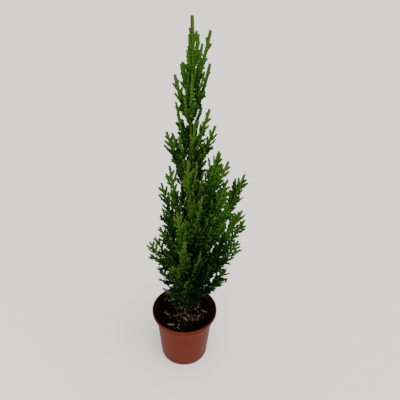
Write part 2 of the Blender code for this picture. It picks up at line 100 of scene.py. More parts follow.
# The source's limbs, in mm and degrees. An azimuth of 0 is to the right and 270 to the front.
# Height is where a limb leaves the trunk, tip the height of its end, and bare the share that is a bough.
Limb = namedtuple("Limb", "name height azimuth reach tip spread roll bare", defaults=(0,))
LIMBS = (
    Limb("leader_right", 390, 346, 17, 451, 6, 10),
    Limb("crown_left_1", 376, 180, 10, 420, 6, 20),
    Limb("crown_right_1", 360, 9, 18, 418, 4, 0),
    Limb("crown_left_2", 354, 190, 18, 408, 11, 5),
    Limb("crown_right_2", 374, 325, 15, 412, 5, 40),
    Limb("crown_front", 348, 270, 15, 402, 7, 50),
    Limb("crown_back", 345, 95, 15, 388, 7, 40),
    Limb("upper_left_1", 324, 167, 17, 377, 7, 20),
    Limb("upper_right_1", 320, 349, 20, 373, 8, 10),
    Limb("upper_front", 302, 285, 18, 362, 8, 45),
    Limb("upper_right_2", 292, 12, 28, 351, 12, 5),
    Limb("upper_left_2", 286, 187, 26, 346, 10, 0),
    Limb("upper_back", 300, 96, 20, 353, 9, 50),
    Limb("upper_left_3", 268, 148, 26, 328, 9, 30),
    Limb("middle_right_1", 234, 346, 34, 327, 16, 10, 0.22),
    Limb("middle_front_1", 238, 268, 23, 322, 11, 45),
    Limb("middle_left_1", 198, 192, 22, 306, 13, 15),
    Limb("middle_back_1", 232, 58, 28, 312, 12, 40),
    Limb("middle_back_2", 216, 116, 27, 301, 12, 50),
    Limb("middle_right_2", 142, 4, 66, 292, 14, 10, 0.28),
    Limb("middle_front_2", 188, 298, 35, 282, 12, 40, 0.2),
    Limb("middle_right_3", 176, 338, 46, 289, 14, 20, 0.24),
    Limb("middle_right_4", 128, 353, 66, 250, 13, 5, 0.28),
    Limb("middle_left_4", 182, 174, 32, 279, 11, 10),
    Limb("middle_left_2", 164, 158, 35, 238, 12, 25),
    Limb("middle_left_3", 150, 204, 36, 228, 12, 10),
    Limb("middle_back_3", 168, 40, 44, 267, 14, 35, 0.22),
    Limb("middle_back_4", 180, 132, 34, 262, 13, 45),
    Limb("middle_front_3", 168, 248, 30, 258, 12, 50),
    Limb("lower_left_1", 126, 194, 48, 202, 14, 20, 0.24),
    Limb("lower_left_2", 134, 170, 43, 196, 9, 10),
    Limb("lower_left_3", 106, 194, 38, 160, 10, 30),
    Limb("lower_left_4", 97, 170, 39, 126, 7, 40),
    Limb("lower_right_1", 112, 350, 65, 207, 12, 10, 0.28),
    Limb("lower_right_2", 104, 14, 56, 166, 10, 30),
    Limb("lower_right_3", 96, 343, 54, 162, 9, 15),
    Limb("lower_right_4", 88, 5, 50, 127, 8, 20),
    Limb("lower_front_1", 130, 266, 38, 223, 13, 50),
    Limb("lower_front_2", 118, 292, 46, 210, 13, 45),
    Limb("lower_front_3", 101, 310, 47, 184, 10, 40),
    Limb("lower_front_4", 111, 243, 37, 182, 12, 45),
    Limb("lower_front_5", 93, 272, 35, 158, 10, 55),
    Limb("lower_left_5", 87, 214, 31, 122, 8, 40),
    Limb("lower_back_1", 124, 88, 42, 214, 14, 45),
    Limb("lower_back_2", 112, 134, 42, 190, 12, 40),
    Limb("lower_back_3", 110, 52, 48, 192, 12, 45),
    Limb("lower_back_4", 95, 100, 40, 150, 10, 50),
)


def numbered(kind, rows):
    """Limbs from rows of their measures, with names that count them."""
    return tuple(Limb(f"{kind}_{k}", *row) for k, row in enumerate(rows, 1))


# Smaller limbs that grow between them, for which the source has no solid, in the same order of measures
SIDE_ROWS = (
    (396, 350, 9, 438, 5, 30), (384, 20, 8, 424, 5, 50), (398, 200, 6, 432, 4, 10),
    (298, 182, 20, 344, 6, 15), (224, 352, 45, 314, 12, 10), (204, 350, 46, 292, 12, 20),
    (150, 330, 34, 232, 10, 30), (132, 322, 32, 206, 10, 45), (118, 350, 34, 186, 10, 30),
    (140, 12, 36, 222, 10, 35), (98, 262, 24, 132, 8, 50), (88, 290, 26, 112, 8, 40),
    (84, 250, 24, 100, 7, 50), (214, 278, 18, 276, 8, 50), (180, 262, 20, 244, 9, 40),
    (262, 285, 14, 306, 6, 50), (122, 354, 70, 236, 9, 20), (134, 191, 48, 181, 7, 20),
    (400, 0, 4.5, 447, 4, 0), (240, 296, 20, 318, 9, 40), (198, 288, 24, 272, 9, 50),
    (78, 250, 14, 89, 7, 40), (78, 288, 14, 89, 7, 40), (86, 320, 24, 97, 7, 40), (86, 215, 24, 96, 7, 40),
    (190, 342, 46, 280, 11, 20), (176, 345, 50, 262, 11, 30), (158, 344, 48, 240, 11, 20),
    (288, 200, 13, 342, 6, 30), (222, 318, 22, 302, 8, 40), (90, 60, 30, 118, 8, 40),
    (92, 150, 28, 120, 8, 40), (84, 105, 24, 104, 8, 40), (276, 60, 18, 330, 8, 40),
    (250, 100, 20, 306, 8, 40), (402, 186, 4, 447, 4, 0), (216, 356, 38, 306, 11, 0),
    (258, 5, 17, 326, 8, 10), (230, 356, 35, 322, 9, 0), (160, 7, 66, 284, 9, 10, 0.3),
    (126, 350, 60, 246, 6, 20, 0.35), (86, 165, 35, 104, 8, 40),
)
SIDE_LIMBS = numbered("side", SIDE_ROWS)

# And shorter ones in the dark inside the crown
INNER_ROWS = (
    (140, 318, 32, 204, 11, 40), (124, 308, 30, 176, 11, 50), (152, 340, 34, 224, 11, 30),
    (120, 335, 34, 182, 11, 35), (168, 325, 30, 244, 10, 40), (160, 355, 34, 232, 10, 25),
    (112, 20, 36, 170, 10, 30), (140, 62, 28, 200, 10, 40), (152, 122, 26, 212, 10, 40),
    (120, 92, 30, 180, 10, 40), (178, 88, 24, 238, 10, 40), (130, 202, 28, 190, 10, 40),
    (160, 246, 22, 216, 10, 40), (112, 232, 26, 164, 10, 40), (190, 20, 30, 256, 10, 40),
    (100, 150, 30, 150, 10, 40), (210, 300, 18, 262, 9, 40), (150, 178, 26, 226, 11, 40),
    (172, 190, 24, 244, 10, 30), (132, 165, 28, 204, 11, 40), (115, 185, 30, 178, 11, 40),
)
INNER_LIMBS = numbered("inner", INNER_ROWS)

# The shape of the limbs
LEADER_TIP = Vector((4.7, 0.0, 463.0)) * MM  # the leading shoot's
LEADER_SPREAD = 8 * MM
LEADER_BREADTH = 1.8  # of its side shoots, in spreads
LEADER_NARROWING = 0.58  # of the angles of its side shoots
LEADER_TURN = 50.0  # from one pair of its side shoots to the next, in degrees
TOP_NARROWING = 0.25  # how much narrower the sprays at the top of the crown are
BOW_OUT = 0.60  # place of a limb's bend, in shares of its reach and its rise
BOW_UP = 0.38
BOUGH_RADIUS = 1.25 * MM
BOUGH_TIP_RADIUS = 0.85 * MM
STEM_RADIUS = 0.95 * MM
SPACE_SAMPLES = 16

# The source's rule for side shoots
TWIG_ANGLE = 38.0
TWIG_ANGLE_AT_TIP = 33.0
FIRST_TWIG = 0.7  # its place, in steps between the twigs
FEWEST_TWIGS = 2
INNER_BREADTH = 0.45  # of a limb at its foot, in spreads, and what it gains along its length
BREADTH_GAIN = 0.95
TIP_LEAD = 0.95  # how far a twig may reach towards its limb's tip
TOP_LEAD_LOSS = 0.40  # less of it at the top of the crown, where the sprays are more pointed
LEADER_LEAD = 0.52
FIRST_SHOOT = 0.8  # its place, in steps between the small shoots
SHOOT_ANGLE = 33.0
ANGLE_PLAY = 5.0  # in the spray's plane, in degrees
LIFT_PLAY = 0.14  # and out of it

# What the finer shoots add to it
RAGGEDNESS = 0.45  # of the length that the rule gives, at least
SHORTEST_TWIG = 6 * MM
SHORTEST_SHARE = 0.9  # of the spread, on a slender limb
LEADER_SHORTEST_TWIG = 10 * MM
SHORT_SHOOT = (3.6 * MM, 6.4 * MM)
SHORTER_AT_TIP = 0.3  # of a twig
SHORTER_AT_TOP = 0.4  # of the crown
TURN_PLAY = 32.0  # round the limb, in degrees
CLOSER_INSIDE = 1.35  # power that draws the twigs together towards a limb's foot
LONG_EVERY = 2  # one small shoot in this many is as long as the source's
LONGEST_SHOOT = 13 * MM
LAST_SHOOT = 6.0 * MM  # from a twig's tip
BRANCHING_FROM = 6.5 * MM  # length from which a small shoot has smaller ones
SHOOT_SHARE = 0.6  # of the rest of its twig that a long one may reach
ORDER_SPACING = (1.0, 0.85)  # on a twig, and on one of its small shoots
ORDER_WIDTH = (0.86, 0.85)  # in widths of what it grows on
TOP_SPACING = 1.3  # more between the shoots at the top of the crown than at its foot
FOOT_WIDTH = 0.86  # of a shoot at the crown's foot and at its top
TOP_WIDTH = 1.36
SHOOT_BEND = 0.3  # how far a shoot's tip has turned towards its parent's way
SHOOT_TAPER = 0.08  # over its length
TIP_WIDTH = 0.92  # of its last ring of scales
INNER_WIDTH = 0.62  # of a twig at the foot of a limb, to one at its tip
FEWEST_RINGS = 1
LAST_RING = 0.75  # length of a shoot's last ring of scales, in rings
STEM_STRETCH = 1.25  # scales on a stem are longer and wider than on a shoot
STEM_WIDTH = 1.15
LEADER_WIDTH = (1.35, 1.0)  # of the leading shoot's stem, at its foot and its tip
SCALY_FROM = 0.3  # share of a limb from which its stem is scaly, and woody until WOODY_TO
WOODY_TO = 0.36
WOODY_RADIUS = 0.75 * MM
WOODY_TIP_RADIUS = 0.5 * MM
MINGLE = 4 * MM  # how far fine shoots may pass the border between two limbs' spaces
SOIL_CLEARANCE = 1.0 * MM
RIM_CLEARANCE = 1.5 * MM

# One ring of scales: across and out in widths of the shoot, and along in lengths of the ring
SCALE_FOOT = -0.3
SCALE_TIP = 1.25
MIDDLE_RINGS = ((0.27, 0.0), (0.35, 0.68))  # half width and place
KEEL = (0.5, 0.55)
KEEL_FLANK = (0.14, 0.5, 0.24)
KEEL_FOOT = 0.24
KEEL_TIP = 0.36

# Short sprays from the trunk, between the limbs, in mm and degrees
GOLDEN_TURN = 137.5
INNER_FROM = 75.0
INNER_TO = 403.0
INNER_STEP = 0.9
INNER_REACH = (9.0, 24.0)
INNER_RISE = (0.6, 1.4)  # in reaches
INNER_SPREAD = 0.35
INNER_ROLL = 60.0
TOP_REACH_LOSS = 0.55
TOP_RISE_GAIN = 2.0
TOP_STEP_GAIN = 1.0
BARE = ((303, 338, 270, 60), (230, 285, 185, 50))  # where none grow: from, to, azimuth and half width

# Short sprays from the lower part of the limbs
BOUGH_SPRAYS_TO = 0.8  # share of a limb that has them
TOP_BOUGH_LOSS = 0.9  # and how much less at the top of the crown
CROWN_MIDDLE = 11 * MM  # to the right of the pot's
BOUGH_SPRAYS_WITHIN = 37 * MM  # of the crown's middle, so that the plumes stay apart further out
FOOT_WITHIN = 14 * MM  # at the compost, and wider by this share of the height
FOOT_WIDENING = 0.30
BOUGH_SPRAY_STEP = 2.7 * MM
BOUGH_SPRAY_LEAN = 0.85  # away from the limb, less at the top of the crown
TOP_LEAN_LOSS = 0.6
BOUGH_REACH = (7.0, 18.0)
BOUGH_SPRAY_BOW = 2 * MM
BOUGH_SPRAY_SPREAD = 4 * MM

# The greens, from 0 for the oldest to 1 for the freshest; a spray's number on this scale also carries painted
# light and painted shade
TONES = 9
FOOT_TONE = -0.15  # at the pot's foot, and what the full height adds
HEIGHT_TONE = 0.63
TONE_PLAY = 0.10  # of a spray, and of each shoot
SHOOT_TONE_PLAY = 0.15
FRONT_PAINTED_LIGHT = 0.52  # painted light: how much lighter full light in front paints a spray's green
FRONT_FROM = 0.50  # share of the crown's height from which the front has its full light
FRONT_RISE = 2.2  # power of the light's rise up to there
FRONT_TO = 0.66  # where that light starts to fall, by how much, and over what share of the height
FRONT_FALL = 0.55
FRONT_FADE = 0.12
FOOT_LIT = 0.44  # the least share of it
FRONT_BLEND = 10 * MM  # round the crown's middle, where the front passes into the back
BACK_TONE = -0.05  # share of that light behind it
SHADED_AZIMUTH = 316.0  # the side of the crown's foot that gets painted shade, in degrees
SHADED_WIDTH = 44.0  # to each side
SHADED_TONE = 0.50
INNER_PAINTED_SHADE = 0.12  # painted shade on the short sprays inside the crown, and what the foot adds
FOOT_PAINTED_SHADE = 0.17
FRONT_SHOWN = 0.35  # how much less painted shade the short sprays in front get, where the painted front light falls
# painted shade on the side limbs
SIDE_PAINTED_SHADE = 0.03
STEM_GAIN = 0.24  # along a limb; the gains make shoots lighter towards their fresh tips and darker at their feet, partly as painted shade inside the spray
TWIG_GAIN = 0.50  # and along a twig, of which its small shoots add a share
SHOOT_GAIN = 0.6
GAIN_CURVE = 1.4
FOOT_GAIN = 0.7  # share of the gains that is left at the crown's foot
DEAD_BELOW = 106 * MM  # height under which some twigs are dead
DEAD_SHARE = 0.28
DEAD_TONES = (0, 1, 1)  # the straw colour once and the brown one twice
LEAF_SURFACE = (0.6, 0.05)  # roughness and specular level
DEAD_SURFACE = (0.85, 0.1)
DEAD_SHADES = (1, 0.35)  # of the straw colour
SPRAY_FINISHES = (*(f"spray_green_{k + 1}" for k in range(TONES)), "dead_spray_straw", "dead_spray_brown")

# Relief of the bark: ridges, and a collar at each limb
RIDGE_COUNT = 1.6  # radius of the bark's circle in the noise
RIDGE_LENGTH = 9 * MM
RIDGE_NOISE = (1.0, 2.0, 3)  # its fractal's dimension, step in scale and octaves
COLLAR_HEIGHT = 2.4 * MM
COLLAR_TURN = 0.7  # how far round, in radians
COLLAR_SWELL = 0.35
YOUNG_TRUNK = (270 * MM, 350 * MM)  # heights between which the bark turns green
YOUNG_BOUGHS = (60 * MM, 250 * MM)

# The pot's turned line: height and rounding of each corner
POT_FLOOR = 1.6 * MM
POT_COLLAR = 64 * MM
AT_BASE = (0, 1.8 * MM)
AT_COLLAR = (POT_COLLAR, 6 * MM)
AT_SHOULDER = (73 * MM, 3 * MM)
AT_LIP = (75 * MM, 0.8 * MM)
AT_LIP_EDGE = (76.4 * MM, 0.8 * MM)
AT_RIM = (POT_TOP, 0.9 * MM)
AT_INNER_RIM = (POT_TOP, 0.4 * MM)
AT_FLOOR = (POT_FLOOR, 1.5 * MM)
CORNER_STEPS = 5
RIM_RINGS = 9  # from the widest one over the rim to the first one of the darker inner wall
LIP_INSET = 0.7 * MM
MIDDLE_RADIUS = 0.2 * MM
POT_CREASE = 50.0  # angle from which an edge is sharp, in degrees
DUSTY_BAND = 7 * MM  # under the rim
DULL_COLLAR = 6 * MM  # height over which the collar turns dull
DRAIN_HOLES = 6
DRAIN_CIRCLE = 22 * MM
DRAIN_RADIUS = 3.5 * MM
DRAIN_DEPTH = 8 * MM
DRAIN_SIDES = 32

# The source's compost, and the finer lumps on it as size, height and a place in the noise
SOIL_LEVEL = 71.5 * MM
SOIL_SINK = 1.6 * MM
SOIL_ROUGHNESS = 1.3 * MM
SOIL_LUMP = 9 * MM
SOIL_FLAT_RADIUS = 10 * MM
SOIL_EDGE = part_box("compost")[1].x + GAP
LUMPS_RISE = 4  # how soon they reach their full height away from the level middle
FINE_LUMPS = ((2.6 * MM, 0.6 * MM, 0), (1.2 * MM, 0.3 * MM, 5))
SOIL_SIDES = 132
SOIL_RINGS = 44
FILL_LINE = ((31.4 * MM, 1.9 * MM), (37.1 * MM, 64 * MM))  # its foot and its side, as radius and height
COMPOST_SEED = 3

# Crumbs, grit and fibres on the compost
CRUMB_SIZE = (0.28 * MM, 0.95 * MM)  # the least, and how much more the largest have
CRUMB_SHARES = (0.62, 0.35, 0.03)  # dark, brown and grit
LARGEST_GRIT = 0.5 * MM
CRUMB_JITTER = (0.7, 1.25)
CRUMB_STRETCH = ((0.8, 1.3), (0.8, 1.3), (0.55, 0.9))
CRUMB_LIFT = 0.25  # in sizes
CRUMB_CLEARANCE = 0.8 * MM
FIBRE_HALF = (1.0, 3.0)  # half its length in mm, and how much that half rises
FIBRE_TILT = (-0.5, 0.7)
FIBRE_HALF_WIDTH = 0.16 * MM
FIBRE_HEIGHT = 0.2 * MM
FIBRE_LIFT = 0.3 * MM
WALL_CLEARANCE = 4 * MM  # of fibres and small chips

# The source's large chips of bark, in mm and degrees, and the rule for small ones and straws
Chip = namedtuple("Chip", "x y turn length width wood")
CHIPS = (
    Chip(-17.5, -23.5, -8, 10, 2.8, 0),
    Chip(-24.5, -3.5, -30, 10, 2.8, 1),
    Chip(28.0, 3.5, -16, 12, 3.4, 1),
    Chip(5.0, -6.0, -50, 11, 2.4, 0),
    Chip(1.5, -12.5, -40, 9, 2.6, 0),
    Chip(20.5, -6.5, 55, 8, 2.8, 1),
    Chip(16.5, 10.0, 70, 9, 3.0, 1),
    Chip(-14.0, 21.0, 35, 9, 3.0, 2),
    Chip(-9.0, -2.5, -35, 8, 2.6, 2),
    Chip(9.0, 27.0, 10, 8, 2.8, 1),
)
# Their woods, in shares of the palest one's colour
WOODS = (("pale_chip", (1, 1, 1)), ("brown_chip", (0.62, 0.54, 0.60)), ("dark_chip", (0.24, 0.20, 0.22)))
CHIP_SEED = 8
SMALL_CHIP_LENGTH = (2.4, 6.0)
SMALL_CHIP_WIDTH = (0.18, 0.32)  # in lengths
SMALL_CHIP_WOODS = (0.08, 0.42, 0.5)
STRAW_MIDDLE = (5.0, -2.0)
STRAW_SCATTER = 7.5
STRAW_HEADING = (-46.0, 26.0)  # middle and spread, in degrees
STRAW_LENGTH = (3.0, 8.0)
STRAW_WIDTH = (0.45, 0.85)
STRAW_WOODS = (0.6, 0.4)
CHIP_THICKNESS = 0.45  # in widths
THICKEST_CHIP = 1.3
CHIP_LEAN = 9.0  # in degrees, to each side
CHIP_LIFT = 0.6 * MM
FLAKE_RINGS = 9
FLAKE_SIDES = 8
FLAKE_CURVE = 2.6  # power of its outline
FLAKE_END = 0.15  # width of its ends, in full widths
FLAKE_RAGGED = (0.75, 1.15)
FLAKE_SLANT = 0.06  # of its ends, and the bend of its middle, in lengths
FLAKE_BEND = (-0.04, 0.08)

# Dead shoots that lie on the compost, in mm and in widths of a live one
DRY_SEED = 5
DRY_OUT = (4, 24)  # from the trunk's foot
DRY_LENGTH = (5, 11)
DRY_WIDTH = 0.27
DRY_RING = 2.2 * MM
DRY_LIFT = 0.7 * MM
DRY_BRANCH_AT = (2, 3, 4)  # rings from its foot
DRY_BRANCH_SHARE = 0.7  # of these places that have one
DRY_BRANCH_TURN = 0.6  # in radians
DRY_BRANCH_LENGTH = (2.5, 4.5)
DRY_BRANCH_WIDTH = 0.22

# Floor, lights and camera, in metres and degrees, and the lens in mm
FLOOR_HALF = 12.0
FLOOR_LEVEL = -0.2 * MM
KEY_PLACE = (0.5, -0.6, 1.6)
KEY_SPREAD = 60.0
FILL_PLACE = (-0.5, -1.5, 0.7)
FILL_SIZE = 1.0
LIGHT_AIM = Vector((0, 0, 0.2))
CAMERA_PLACE = (0.0172, -0.4349, 0.5243)
CAMERA_PITCH = 31.43
CAMERA_ROLL = 1.68
CAMERA_LENS = 38.6
SENSOR = 36.0

Curve = namedtuple("Curve", "start bend end")
Shoot = namedtuple("Shoot", "points ways normal widths tone gain")
Spray = namedtuple(
    "Spray",
    "name curve side roll spread high start narrowing turn lead shortest",
    defaults=(0, 1, 0, TIP_LEAD, SHORTEST_TWIG),
)


# Settings


def length_setting(name, description, default):
    return FloatProperty(name=name, description=description, default=default, unit="LENGTH", precision=5)


def count_setting(name, description, default):
    return IntProperty(name=name, description=description, default=default)


def colour_setting(name, description, default):
    return FloatVectorProperty(name=name, description=description, default=default, subtype="COLOR")


class PotLook(PropertyGroup):
    base_radius: length_setting("Base radius", "Radius of the pot's foot", 0.033)
    body_radius: length_setting("Body radius", "Radius of the wall under the collar", 0.0387)
    collar_radius: length_setting("Collar radius", "Radius where the collar meets the lip", 0.042)
    wall: length_setting("Wall", "Thickness of the plastic", 0.0013)
    sides: count_setting("Sides", "Faces round the pot", 144)
    clay: colour_setting("Clay", "Main colour of the plastic", (0.092, 0.0155, 0.0066))
    dusty: colour_setting("Dusty clay", "Paler colour where the plastic is scuffed", (0.115, 0.024, 0.012))
    dust: colour_setting("Dust", "Compost dust along the lip", (0.03, 0.014, 0.010))
    # the inner wall's plastic is darker than the outside, and darkest in soft patches
    inner_wall: colour_setting("Inner wall clay", "Colour inside, on the inner wall", (0.028, 0.0055, 0.0035))
    darkest_inside: colour_setting("Darkest inner clay", "Darkest colour inside", (0.006, 0.0016, 0.001))


class CompostLook(PropertyGroup):
    crumbs: count_setting("Crumbs", "Loose crumbs on the surface", 1700)
    fibres: count_setting("Fibres", "Thin peat fibres on the surface", 260)
    chips: count_setting("Small chips", "Small flakes between the large ones", 34)
    straws: count_setting("Straws", "Thin pale splinters in front of the trunk", 40)
    dry_sprays: count_setting("Dry sprays", "Dead shoots that lie round the trunk", 16)
    peat: colour_setting("Peat", "Colour of the damp compost", (0.0020, 0.0011, 0.0008))
    crumb: colour_setting("Crumb", "Colour of its drier crumbs", (0.0085, 0.0052, 0.0034))
    grit: colour_setting("Grit", "Colour of a few pale grains", (0.12, 0.105, 0.085))
    chip: colour_setting("Chip", "Colour of the palest chips", (0.21, 0.145, 0.090))


class BarkLook(PropertyGroup):
    sides: count_setting("Sides", "Faces round the trunk", 20)
    row: length_setting("Row", "Height of one row of faces", 0.0016)
    relief: FloatProperty(
        name="Relief", description="Depth of the furrows in radii", default=0.16, subtype="FACTOR"
    )
    ridge: colour_setting("Ridge", "Red brown of the ridges", (0.150, 0.074, 0.030))
    furrow: colour_setting("Furrow", "Dark brown of the furrows", (0.030, 0.014, 0.007))
    young: colour_setting("Young bark", "Green of the youngest wood", (0.030, 0.055, 0.006))


class FoliageLook(PropertyGroup):
    twig_spacing: length_setting("Twig spacing", "Between the side shoots of a stem", 0.0023)
    shoot_spacing: length_setting("Shoot spacing", "Between the small shoots of a twig", 0.0033)
    width: length_setting("Shoot width", "Across a scaly shoot near a tip", 0.0029)
    ring: length_setting("Ring of scales", "Length that one ring of scales covers", 0.0026)
    # the darkest green: the oldest shoots, and painted shade deep inside the crown
    inner: colour_setting("Inner green", "Oldest shoots", (0.002, 0.009, 0.0018))
    old: colour_setting("Old green", "Shoots of the last year", (0.007, 0.034, 0.004))
    leaf: colour_setting("Leaf green", "Most shoots", (0.031, 0.096, 0.007))
    tip: colour_setting("Tip green", "Fresh tips", (0.049, 0.104, 0.012))
    straw: colour_setting("Straw", "Dead shoots", (0.200, 0.150, 0.090))
    seed: count_setting("Seed", "Start of the random draws", 11)


class StageLook(PropertyGroup):
    floor: colour_setting("Floor", "Colour of the seamless floor", (0.88, 0.855, 0.83))
    # painted shade: the floor's slightly darker soft patches
    patch: colour_setting("Floor patches", "Its slightly darker patches", (0.83, 0.805, 0.78))
    tint: colour_setting("Sky colour", "Colour of the light from all round", (1.0, 0.99, 0.98))
    sky: FloatProperty(name="Sky", description="Strength of the light from all round", default=1.05)
    key: FloatProperty(name="Key", description="Strength of the broad soft light from above", default=2.4)
    fill: FloatProperty(name="Fill", description="Power of the soft light in front", default=10, unit="POWER")


# Shader maths


class Sock:
    """A socket that can be calculated with: an expression on it adds its Math nodes."""

    def __init__(self, look, socket):
        self.look = look
        self.socket = socket

    def maths(self, operation, first, second):
        return self.look.node("ShaderNodeMath", {"operation": operation}, {0: first, 1: second})

    def __add__(self, other):
        return self.maths("ADD", self, other)

    def __radd__(self, other):
        return self.maths("ADD", other, self)

    def __sub__(self, other):
        return self.maths("SUBTRACT", self, other)

    def __rsub__(self, other):
        return self.maths("SUBTRACT", other, self)

    def __mul__(self, other):
        return self.maths("MULTIPLY", self, other)

    def __rmul__(self, other):
        return self.maths("MULTIPLY", other, self)

    def between(self, low, high):
        """0 where the value is at low or under it, 1 from high on, and smooth between them."""
        settings = {"interpolation_type": "SMOOTHSTEP"}
        inputs = {"Value": self, "From Min": low, "From Max": high}
        return self.look.node("ShaderNodeMapRange", settings, inputs)


class Look:
    """A material in the making, on a Principled shader."""

    def __init__(self, name, **constants):
        self.material = bpy.data.materials.new(name)
        self.material.use_nodes = True
        self.tree = self.material.node_tree
        self.finish(**constants)

    def node(self, kind, settings=None, inputs=None, output=0):
        """Adds a node with its settings, then the values or links of its sockets, and gives its output."""
        made = self.tree.nodes.new(kind)
        for key, value in (settings or {}).items():
            setattr(made, key, value)
        self.feed(made, inputs or {})
        return Sock(self, made.outputs[output])

    def feed(self, node, inputs):
        for key, value in inputs.items():
            if isinstance(value, Sock):
                self.tree.links.new(value.socket, node.inputs[key])
            else:
                node.inputs[key].default_value = value

    def place(self, scale=(1, 1, 1)):
        """The place on the plant, in metres, stretched by a scale."""
        where = self.node("ShaderNodeTexCoord", output="Object")
        return self.node("ShaderNodeMapping", {}, {"Vector": where, "Scale": scale})

    def height(self):
        return self.node("ShaderNodeSeparateXYZ", {}, {0: self.place()}, output="Z")

    def cloud(self, size, detail=3.0, scale=(1, 1, 1)):
        """Soft noise with patches of about that size."""
        inputs = {"Vector": self.place(scale), "Scale": 1 / size, "Detail": detail}
        return self.node("ShaderNodeTexNoise", {}, inputs)

    def mix(self, share, first, second):
        """A colour between two others."""
        first, second = (value if isinstance(value, Sock) else (*value, 1) for value in (first, second))
        return self.node("ShaderNodeMix", {"data_type": "RGBA"}, {0: share, 6: first, 7: second}, output=2)

    def bump(self, height, distance):
        return self.node("ShaderNodeBump", {}, {"Height": height, "Distance": distance})

    def finish(self, **inputs):
        """Feeds the shader's own sockets, which are named with _ for a space."""
        shader = self.tree.nodes["Principled BSDF"]
        self.feed(shader, {key.replace("_", " "): value for key, value in inputs.items()})
        return self.material


def terracotta_plastic(look):
    """Moulded plastic in a clay colour, dusty in soft clouds, with compost dust along its lip."""
    made = Look("terracotta_plastic", Specular_IOR_Level=0.05)
    scuffed = made.cloud(22 * MM).between(0.45, 0.75)
    streaks = made.cloud(5 * MM, scale=(1, 1, 0.12)).between(0.4, 0.8)
    colour = made.mix(0.45 * scuffed + 0.25 * streaks, look.clay, look.dusty)
    lip = made.height().between(POT_TOP - DUSTY_BAND, POT_TOP)
    dust = made.cloud(1.6 * MM, 4.0).between(0.55, 0.68) * lip
    colour = made.mix(0.5 * dust, colour, look.dust)
    fine = made.cloud(0.5 * MM, 2.0)
    collar = made.height().between(POT_COLLAR, POT_COLLAR + DULL_COLLAR)
    rough = 0.44 + 0.12 * scuffed + 0.3 * dust + 0.35 * collar
    return made.finish(Base_Color=colour, Roughness=rough, Normal=made.bump(fine + streaks, 0.02 * MM))


def inner_wall_plastic(look):
    """The same plastic inside the pot, darker, and darkest in soft patches."""
    made = Look("inner_wall_plastic", Specular_IOR_Level=0.02)
    darkest_inside = made.cloud(3 * MM, 4.0).between(0.3, 0.6)
    colour = made.mix(darkest_inside, look.inner_wall, look.darkest_inside)
    return made.finish(Base_Color=colour, Roughness=0.5 + 0.3 * darkest_inside)


def damp_compost(look):
    """Nearly black peat with browner crumbs, dull and finely broken."""
    made = Look("damp_compost", Specular_IOR_Level=0.0)
    patch = made.cloud(4 * MM, 4.0).between(0.42, 0.70)
    grain = made.cloud(0.8 * MM, 4.0)
    colour = made.mix(0.5 * patch + 0.25 * grain, look.peat, look.crumb)
    rough = 0.75 + 0.25 * grain
    return made.finish(Base_Color=colour, Roughness=rough, Normal=made.bump(grain, 0.4 * MM))


def grain_of(name, colour):
    """A loose grain's colour, a little uneven."""
    made = Look(name, Specular_IOR_Level=0.02)
    patch = made.cloud(1.5 * MM, 3.0)
    darker = tuple(channel * 0.45 for channel in colour)
    return made.finish(Base_Color=made.mix(patch, darker, colour), Roughness=0.8 + 0.2 * patch)


def chip_wood(name, colour):
    """Split bark with fibres that run along it, paler on its ridges."""
    made = Look(name, Specular_IOR_Level=0.05)
    fibres = made.cloud(0.9 * MM, 4.0, (0.35, 1, 1))
    darker = tuple(channel * 0.35 for channel in colour)
    mixed = made.mix(fibres.between(0.35, 0.65), darker, colour)
    rough = 0.7 + 0.25 * fibres
    return made.finish(Base_Color=mixed, Roughness=rough, Normal=made.bump(fibres, 0.3 * MM))


def fibrous_bark(look, name, green_from, green_to):
    """Red-brown bark in upright fibres, greener from one height to another."""
    made = Look(name, Specular_IOR_Level=0.05)
    fibres = made.cloud(1.1 * MM, 5.0, (1, 1, 0.16))
    colour = made.mix(fibres.between(0.32, 0.66), look.furrow, look.ridge)
    young = made.height().between(green_from, green_to)
    colour = made.mix(0.95 * young, colour, look.young)
    rough = 0.68 + 0.25 * fibres
    return made.finish(Base_Color=colour, Roughness=rough, Normal=made.bump(fibres, 0.3 * MM))


def spray_greens(look):
    """Plain greens from the oldest shoots to the freshest tips, the darkest also standing for painted shade
    inside the crown, and two dead colours after them.
    """
    keys = [Vector(key) for key in (look.inner, look.old, look.leaf, look.tip)]
    colours = []
    for k in range(TONES):
        place = k / (TONES - 1) * (len(keys) - 1)
        low = min(int(place), len(keys) - 2)
        colours.append(keys[low].lerp(keys[low + 1], place - low))
    colours += [Vector(look.straw) * shade for shade in DEAD_SHADES]
    surfaces = [LEAF_SURFACE] * TONES + [DEAD_SURFACE] * len(DEAD_SHADES)
    made = []
    for name, colour, (rough, shine) in zip(SPRAY_FINISHES, colours, surfaces):
        made.append(Look(name, Base_Color=(*colour, 1), Roughness=rough, Specular_IOR_Level=shine).material)
    return made


# Meshes


def placed(name, data):
    """A new object in the scene."""
    made = bpy.data.objects.new(name, data)
    bpy.context.scene.collection.objects.link(made)
    return made


def mesh_piece(name, points, faces, finishes, slots=None, smooth=False):
    """A mesh object from an array of points and one of faces, which all have as many corners."""
    points = np.asarray(points, np.float32)
    faces = np.asarray(faces, np.int32)
    count, corners = faces.shape
    mesh = bpy.data.meshes.new(name)
    mesh.vertices.add(len(points))
    mesh.vertices.foreach_set("co", points.ravel())
    mesh.loops.add(count * corners)
    mesh.loops.foreach_set("vertex_index", faces.ravel())
    mesh.polygons.add(count)
    mesh.polygons.foreach_set("loop_start", np.arange(count, dtype=np.int32) * corners)
    for finish in finishes:
        mesh.materials.append(finish)
    if slots is not None:
        mesh.polygons.foreach_set("material_index", np.asarray(slots, np.int32))
    mesh.update(calc_edges=True)
    if smooth:
        mesh.shade_smooth()
    return placed(name, mesh)


def dress(piece, slot, *nodes):
    """Makes a piece part of the plant: it rides and stands for its nodes. The slot is not used."""
    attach(piece, BODY)
    if nodes:
        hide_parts(*nodes)


